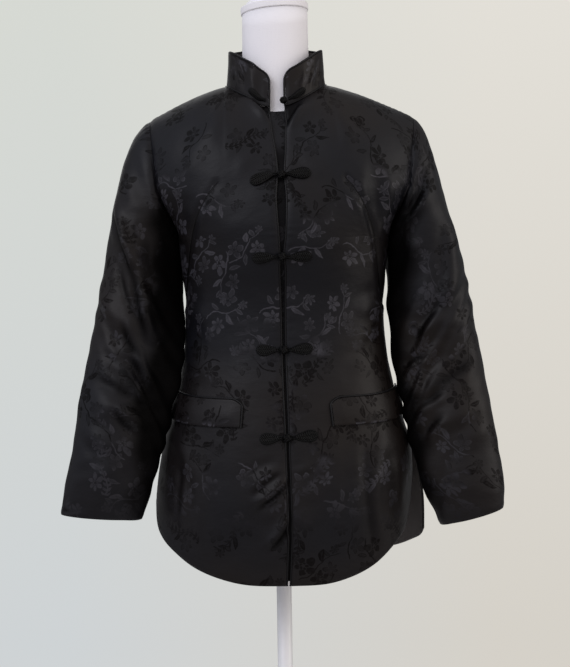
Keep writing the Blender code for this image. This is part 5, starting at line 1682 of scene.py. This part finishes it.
def underlapGrid():
    u = underlapShape
    columns = np.linspace(u["right"], u["left"], u["columns"] + 1)
    rows = np.linspace(0, topRow, 200)
    lines = []
    for x in columns:
        side = 1 if x > bodyShape["hang"] else -1
        share = shareAtX(rows, x, side)
        lines.append(bodyPoints(rows, share, side, False))
    grid = np.stack(lines, axis=1)
    normals = gridNormals(grid)
    depth = mix(u["depth"], u["topDepth"], smooth(topRow - 5, topRow - 1, rows))
    grid = grid - normals * depth[:, None, None]
    keep = grid[:, u["columns"] // 2, 2] < neckShape["frontZ"] - u["topDrop"]
    grid = grid[keep]
    grid[0, :, 2] += u["hemRise"]
    grid[1, :, 2] = np.maximum(grid[1, :, 2], grid[0, :, 2] + 0.002)
    return grid


face = underlapGrid()
uv = np.stack((runs(face, 1), runs(face, 0)), axis=-1)
u = underlapShape
pieces["underlapStrip"] = clothPiece("underlapStrip", face, uv, u["wall"], satinTrim, bevel=0.0,
                                     shade=u["shade"] * smooth(u["shadeTop"], u["shadeFull"], face[..., 2]))
cloth["underlapStrip"] = (face, uv, satinTrim, "underlap")
print("welts and underlap made")


# ---- frogs

frogs = {
    "thick": 0.0042,
    "lift": 0.0007,
    "knot": 0.0055,
    "cord": 0.00145,
    "strand": 0.00105,
    "rowStep": 0.0024,
    "slant": 0.55,
    "profile": ((0.0, 0.0018), (0.16, 0.0023), (0.36, 0.0050), (0.62, 0.0073), (0.80, 0.0074), (0.91, 0.0060),
                (0.97, 0.0038), (1.0, 0.0)),
    "pairs": (  # name, height, right tip, left tip, right droop, left droop
        ("Chest", 1.2606, -0.0367, 0.0453, -0.011, 0.002),
        ("Bust", 1.1457, -0.0356, 0.0448, -0.001, 0.001),
        ("Waist", 1.0165, -0.0320, 0.0440, 0.000, 0.002),
        ("Hip", 0.8959, -0.0290, 0.0490, -0.002, 0.003),
    ),
}


def spine(start, tip, height, droop, bend=1.5):
    return lambda share: (mix(start, tip, share), height + droop * share**bend)


def frogHalf(name, place, spineAt, scale, material):
    f = frogs

    def beside(share, width, lift):
        run = np.subtract(spineAt(min(share + 0.02, 1.0)), spineAt(max(share - 0.02, 0.0)))
        aside = np.array((-run[1], run[0])) / np.linalg.norm(run)
        x, z = np.array(spineAt(share)) + aside * width
        return place(x, z, lift)

    def halfWidth(share):
        return float(tableAt(f["profile"], 1, share)) * scale

    cord = f["cord"] * (0.5 + 0.5 * scale)
    outline = []
    for way in (1, -1):
        shares = np.linspace(0.0, 1.0, 40) if way > 0 else np.linspace(1.0, 0.0, 40)[1:]
        for share in shares:
            width = max(halfWidth(share) - cord * 0.6, cord * 0.75 * (1 - share**8))
            outline.append(beside(share, way * width, f["lift"] + cord * 1.15))
    ring = cordMesh(name + "Cord", [outline], cord, material, 10)
    length = np.linalg.norm(np.array(spineAt(1.0)) - np.array(spineAt(0.0)))
    step = f["rowStep"] * (0.4 + 0.6 * scale)
    count = int(length * 0.82 / step)
    strands, tapers = [], []
    for k in range(count):
        share = 0.14 + 0.80 * (k + 0.5) / count
        for way in (1, -1):
            strand = []
            offset = step * 0.5 / length if way < 0 else 0.0
            for t in np.linspace(0, 1, 7):
                at = min(share + offset + f["slant"] * (halfWidth(share) * t) / length, 0.99)
                width = max(halfWidth(at) - cord * 1.1, 0.0003) * (t * 1.08 - 0.08)
                lift = f["lift"] + f["thick"] * (0.50 + 0.20 * math.sin(math.pi * (0.15 + 0.75 * t)))
                strand.append(beside(at, way * width, lift))
            strands.append(strand)
            tapers.append(0.75 + 0.35 * np.sin(math.pi * np.linspace(0.1, 0.9, 7)))
    strandRadius = f["strand"] * (0.4 + 0.6 * scale)
    plait = cordMesh(name + "Plait", strands, strandRadius, plaitFinish, 8, tapers=tapers)
    return joined(name, [ring, plait])


def knotAndLoop(name, centre, radius, material):
    turns = np.linspace(0, 2 * math.pi, 144, endpoint=False)
    around, tall = turns * 3, 0.95 * np.sin(turns * 4)
    reach = radius * (0.80 + 0.10 * np.cos(turns * 8))
    ball = (np.cos(tall) * np.cos(around), np.sin(tall), np.cos(tall) * np.sin(around))
    path = np.stack(ball, axis=-1) * reach[:, None] + np.array(centre)
    ball = cordMesh(name + "Ball", [path], radius * 0.28, material, 8, closed=True)
    core = bmesh.new()
    bmesh.ops.create_icosphere(core, subdivisions=3, radius=radius * 0.80, matrix=Matrix.Translation(centre))
    return joined(name, [ball, smoothShaded(shaped(name + "Core", core, material))])


for name, z, rightTip, leftTip, rightDroop, leftDroop in frogs["pairs"]:
    middle = (float(tableAt(openingEdges, 1, z)) + float(tableAt(openingEdges, 2, z))) / 2
    clear = frogs["knot"] + 0.0003
    for sideName, panel, tip, droop, start in (("Left", frontLeft, leftTip, leftDroop, middle + clear),
                                               ("Right", frontRight, rightTip, rightDroop, middle - clear)):
        title = "frog" + name + sideName
        pieces[title] = frogHalf(title, panel.place, spine(start, tip, z, droop), 1.0, cordFinish)
        declare(pieces[title], f"frog_{name.lower()}_{sideName.lower()}")
    knotY = frontLeft.place(middle, z, 0.0).y - frogs["lift"] - frogs["knot"]
    title = "frog" + name + "Knot"
    pieces[title] = knotAndLoop(title, Vector((middle, knotY, z)), frogs["knot"], cordFinish)
    declare(pieces[title], f"frog_{name.lower()}_knot")

collarFrog = {
    "length": 0.032,
    "rise": 0.0085,
    "droop": 0.0015,
    "start": 0.0035,
    "scale": 0.72,
    "knotScale": 0.85,
    "knotOffset": (-0.0035, -0.0052, -0.001),
}


def collarPlace(side):
    def place(distance, rise, lift):
        at = distance if side > 0 else neckTotal - distance
        column = float(np.interp(at, collarStops, np.arange(len(collarStops))))
        c = min(int(column), collarGrid.shape[1] - 2)
        line = mix(collarGrid[:, c], collarGrid[:, c + 1], column - c)
        normal = mix(collarNormals[:, c], collarNormals[:, c + 1], column - c)
        share = np.clip(rise / max(float(collarHeight(at)), 1e-4), 0, 1) * collarShape["rows"]
        r = min(int(share), collarShape["rows"] - 1)
        spot = mix(line[r], line[r + 1], share - r)
        return Vector(spot) + Vector(mix(normal[r], normal[r + 1], share - r)).normalized() * lift
    return place


c = collarFrog
for side, sideName in ((1, "Left"), (-1, "Right")):
    title = "frogCollar" + sideName
    collarSpine = spine(c["start"], c["length"], c["rise"], c["droop"], 1.0)
    pieces[title] = frogHalf(title, collarPlace(side), collarSpine, c["scale"], cordFinish)
    declare(pieces[title], "frog_collar_" + sideName.lower())
knotSpot = collarPlace(1)(0.0, c["rise"], 0.0) + Vector(c["knotOffset"])
pieces["frogCollarKnot"] = knotAndLoop("frogCollarKnot", knotSpot, frogs["knot"] * c["knotScale"], cordFinish)
declare(pieces["frogCollarKnot"], "frog_collar_knot")
print("frogs made")


# ---- dress form and stand

stand = {
    "neckTop": 1.510,
    "neckY": 0.001,
    "tilt": math.radians(4.0),
    "capRadius": 0.0500,
    "lip": 0.011,
    "stepRadius": 0.0410,
    "step": 0.007,
    "poleRadius": 0.011,
    "poleBottom": 0.0103,
    "poleTop": 0.7797,
    "baseRadius": 0.160,
    "baseThick": 0.010,
}


def smoothForm(name, node, material):
    shape = bmesh.new()
    shape.from_mesh(bpy.data.objects[node].data)
    bmesh.ops.remove_doubles(shape, verts=shape.verts, dist=0.0001)
    bmesh.ops.join_triangles(shape, faces=shape.faces, angle_face_threshold=math.radians(40),
                             angle_shape_threshold=math.radians(60))
    crease = shape.edges.layers.float.new("crease_edge")
    for edge in shape.edges:
        if edge.is_manifold and edge.calc_face_angle() > math.radians(50):
            edge[crease] = 1.0
    form = smoothShaded(shaped(name, shape, material))
    finer = form.modifiers.new("round", "SUBSURF")
    finer.levels = finer.render_levels = 2
    return settle(form)


def turnedPiece(name, profile, place, material, segments=96, tilt=0.0):
    shape = bmesh.new()
    rings = [[shape.verts.new((r * math.cos(t), r * math.sin(t), z))
              for t in (2 * math.pi * k / segments for k in range(segments))] for r, z in profile]
    for low, high in zip(rings, rings[1:]):
        for k in range(segments):
            j = (k + 1) % segments
            shape.faces.new((low[k], low[j], high[j], high[k]))
    shape.faces.new(rings[0][::-1])
    shape.faces.new(rings[-1])
    bmesh.ops.rotate(shape, verts=shape.verts, matrix=Matrix.Rotation(-tilt, 3, "Y"))
    bmesh.ops.translate(shape, verts=shape.verts, vec=place)
    made = shaped(name, shape, material)
    for face in made.data.polygons:
        face.use_smooth = len(face.vertices) == 4
    return made


def roundedStep(radius, low, high, turn=0.0016, count=5):
    corners = [(radius, low)]
    for k in range(count + 1):
        t = math.pi / 2 * k / count
        corners.append((radius - turn + turn * math.cos(t), high - turn + turn * math.sin(t)))
    return corners


pieces["formTorso"] = smoothForm("formTorso", "form_torso", jersey)
declare(pieces["formTorso"], "form_torso")
s = stand
capProfile = [(s["capRadius"] - 0.0012, 0.0), (s["capRadius"], 0.0012)]
capProfile += roundedStep(s["capRadius"], 0.0016, s["lip"])
capProfile += [(s["stepRadius"] + 0.0005, s["lip"])]
capProfile += roundedStep(s["stepRadius"], s["lip"] + 0.0006, s["lip"] + s["step"], 0.0022)
capProfile += [(s["stepRadius"] * 0.5, s["lip"] + s["step"] + 0.0015)]
capPlace = Vector((0, s["neckY"], s["neckTop"] + 0.0003))
pieces["formNeckCap"] = turnedPiece("formNeckCap", capProfile, capPlace, jersey, tilt=s["tilt"])
declare(pieces["formNeckCap"], "form_neck_cap")
poleProfile = [(s["poleRadius"], 0.0), (s["poleRadius"], s["poleTop"] - s["poleBottom"])]
pieces["standPole"] = turnedPiece("standPole", poleProfile, Vector((0, 0, s["poleBottom"])), paint, 48)
declare(pieces["standPole"], "stand_pole")
baseProfile = [(s["baseRadius"] - 0.0008, 0.0), (s["baseRadius"], 0.0008)]
baseProfile += roundedStep(s["baseRadius"], 0.0010, s["baseThick"], 0.003)
pieces["standBase"] = turnedPiece("standBase", baseProfile, Vector((0, 0, 0)), paint, 160)
declare(pieces["standBase"], "stand_base")
print("form and stand made")


# ---- cut sizes of the cloth

for name in ("frontRight", "frontLeft", "backPanel"):
    declareCloth(pieces[name], cloth[name][0], cloth[name][3])
declareCloth(pieces["standCollar"], collarGrid, "collar")
for name in ("pocketWeltRight", "pocketWeltLeft", "underlapStrip"):
    rests = "frontRight" if name == "pocketWeltRight" else "frontLeft"
    declareCloth(pieces[name], cloth[name][0], cloth[name][3])
for name, (grid, uv, node, _) in sleeves.items():
    loop = np.concatenate((grid, grid[:, :1]), axis=1)
    rests = "frontRight" if name == "sleeveRight" else "frontLeft"
    declareCloth(pieces[name], loop, node)


# ---- floor, backdrop, lights and camera

view = {
    "place": (0.0, -1.9, 1.086),
    "lens": 81.09,
    "roll": math.radians(-0.94),
    "shift": (0.0098246, -0.0587719),
}


def floorDisc():
    board = newFinish("paleFloor")
    x, y, _ = board.split(board.place())
    fade = (x * x + y * y).root().under(1.5, 0.3)
    tone = board.noise(board.place(), 1.5, 1.0)
    board.feed(board.shader, Base_Color=board.blendColour(tone, (0.62, 0.62, 0.60), (0.66, 0.65, 0.63)),
               Roughness=tone * 0.1 + 0.6, Alpha=fade, Specular_IOR_Level=0.3)
    shape = bmesh.new()
    bmesh.ops.create_circle(shape, cap_ends=True, radius=1.8, segments=96)
    bmesh.ops.translate(shape, verts=shape.verts, vec=(0, 0, -0.0005))
    return shaped("floor", shape, board.owner)


floor = floorDisc()


studio = {
    "backdropLow": ((0.620, 0.650, 0.665), (0.665, 0.635, 0.580)),  # left, right
    "backdropHigh": ((0.675, 0.695, 0.655), (0.765, 0.740, 0.685)),
    "sky": ((0.73, 0.74, 0.84), (0.84, 0.77, 0.74)),
    "ground": (0.23, 0.195, 0.18),
    "beyond": (0.22, 0.22, 0.225),  # what the satin reflects behind the jacket
}


def skyAndBackdrop():
    bpy.context.scene.world = bpy.data.worlds.new("studio")
    board = Board(bpy.context.scene.world)
    x, y, z = board.split(board.node("ShaderNodeTexCoord").out("Generated"))
    across = x.ramp(-0.16, 0.16, kind="LINEAR")
    low = board.blendColour(across, *studio["backdropLow"])
    high = board.blendColour(across, *studio["backdropHigh"])
    backdrop = board.blendColour(z.ramp(-0.25, 0.22, kind="LINEAR"), low, high)
    sky = board.blendColour(x.ramp(-0.7, 0.7, kind="LINEAR"), *studio["sky"])
    surround = board.blendColour(z.ramp(-0.45, 0.25), studio["ground"], sky)
    surround = board.blendColour(y.ramp(-0.2, 0.6), surround, studio["beyond"])
    seen = board.node("ShaderNodeLightPath").out("Is Camera Ray")
    board.join(board.blendColour(seen, surround, backdrop), board.tree.nodes["Background"].inputs[0])


skyAndBackdrop()
lamps = (  # name, place, aim, width, height, watts, colour
    ("keyLamp", (-1.5, -1.9, 2.6), (0.0, 0.0, 1.15), 1.5, 1.5, 19, (0.96, 0.95, 1.0)),
    ("fillLamp", (2.5, -0.55, 1.7), (0.0, 0.0, 1.05), 1.2, 1.8, 12, (1.0, 0.95, 0.91)),
    ("backLamp", (-0.5, 2.6, 2.4), (0.0, 0.0, 1.1), 2.4, 2.4, 14, (1.0, 1.0, 1.0)),
)
for name, place, aim, width, height, watts, colour in lamps:
    data = bpy.data.lights.new(name, "AREA")
    data.shape, data.size, data.size_y = "RECTANGLE", width, height
    data.energy, data.color = watts, colour
    lamp = placed(name, data)
    lamp.location = place
    lamp.rotation_euler = (Vector(aim) - Vector(place)).to_track_quat("-Z", "Y").to_euler()

cameraData = bpy.data.cameras.new("camera")
cameraData.sensor_fit = "HORIZONTAL"
cameraData.sensor_width = 36.0
cameraData.lens = view["lens"]
cameraData.shift_x, cameraData.shift_y = view["shift"]
camera = placed("camera", cameraData)
look = Vector((0.0, 1.0, 0.0)).to_track_quat("-Z", "Y").to_matrix().to_4x4()
camera.matrix_world = Matrix.Translation(view["place"]) @ look @ Matrix.Rotation(view["roll"], 4, "Z")
bpy.context.scene.camera = camera
bpy.context.scene.view_settings.view_transform = "Standard"
print("floor, lights and camera placed")
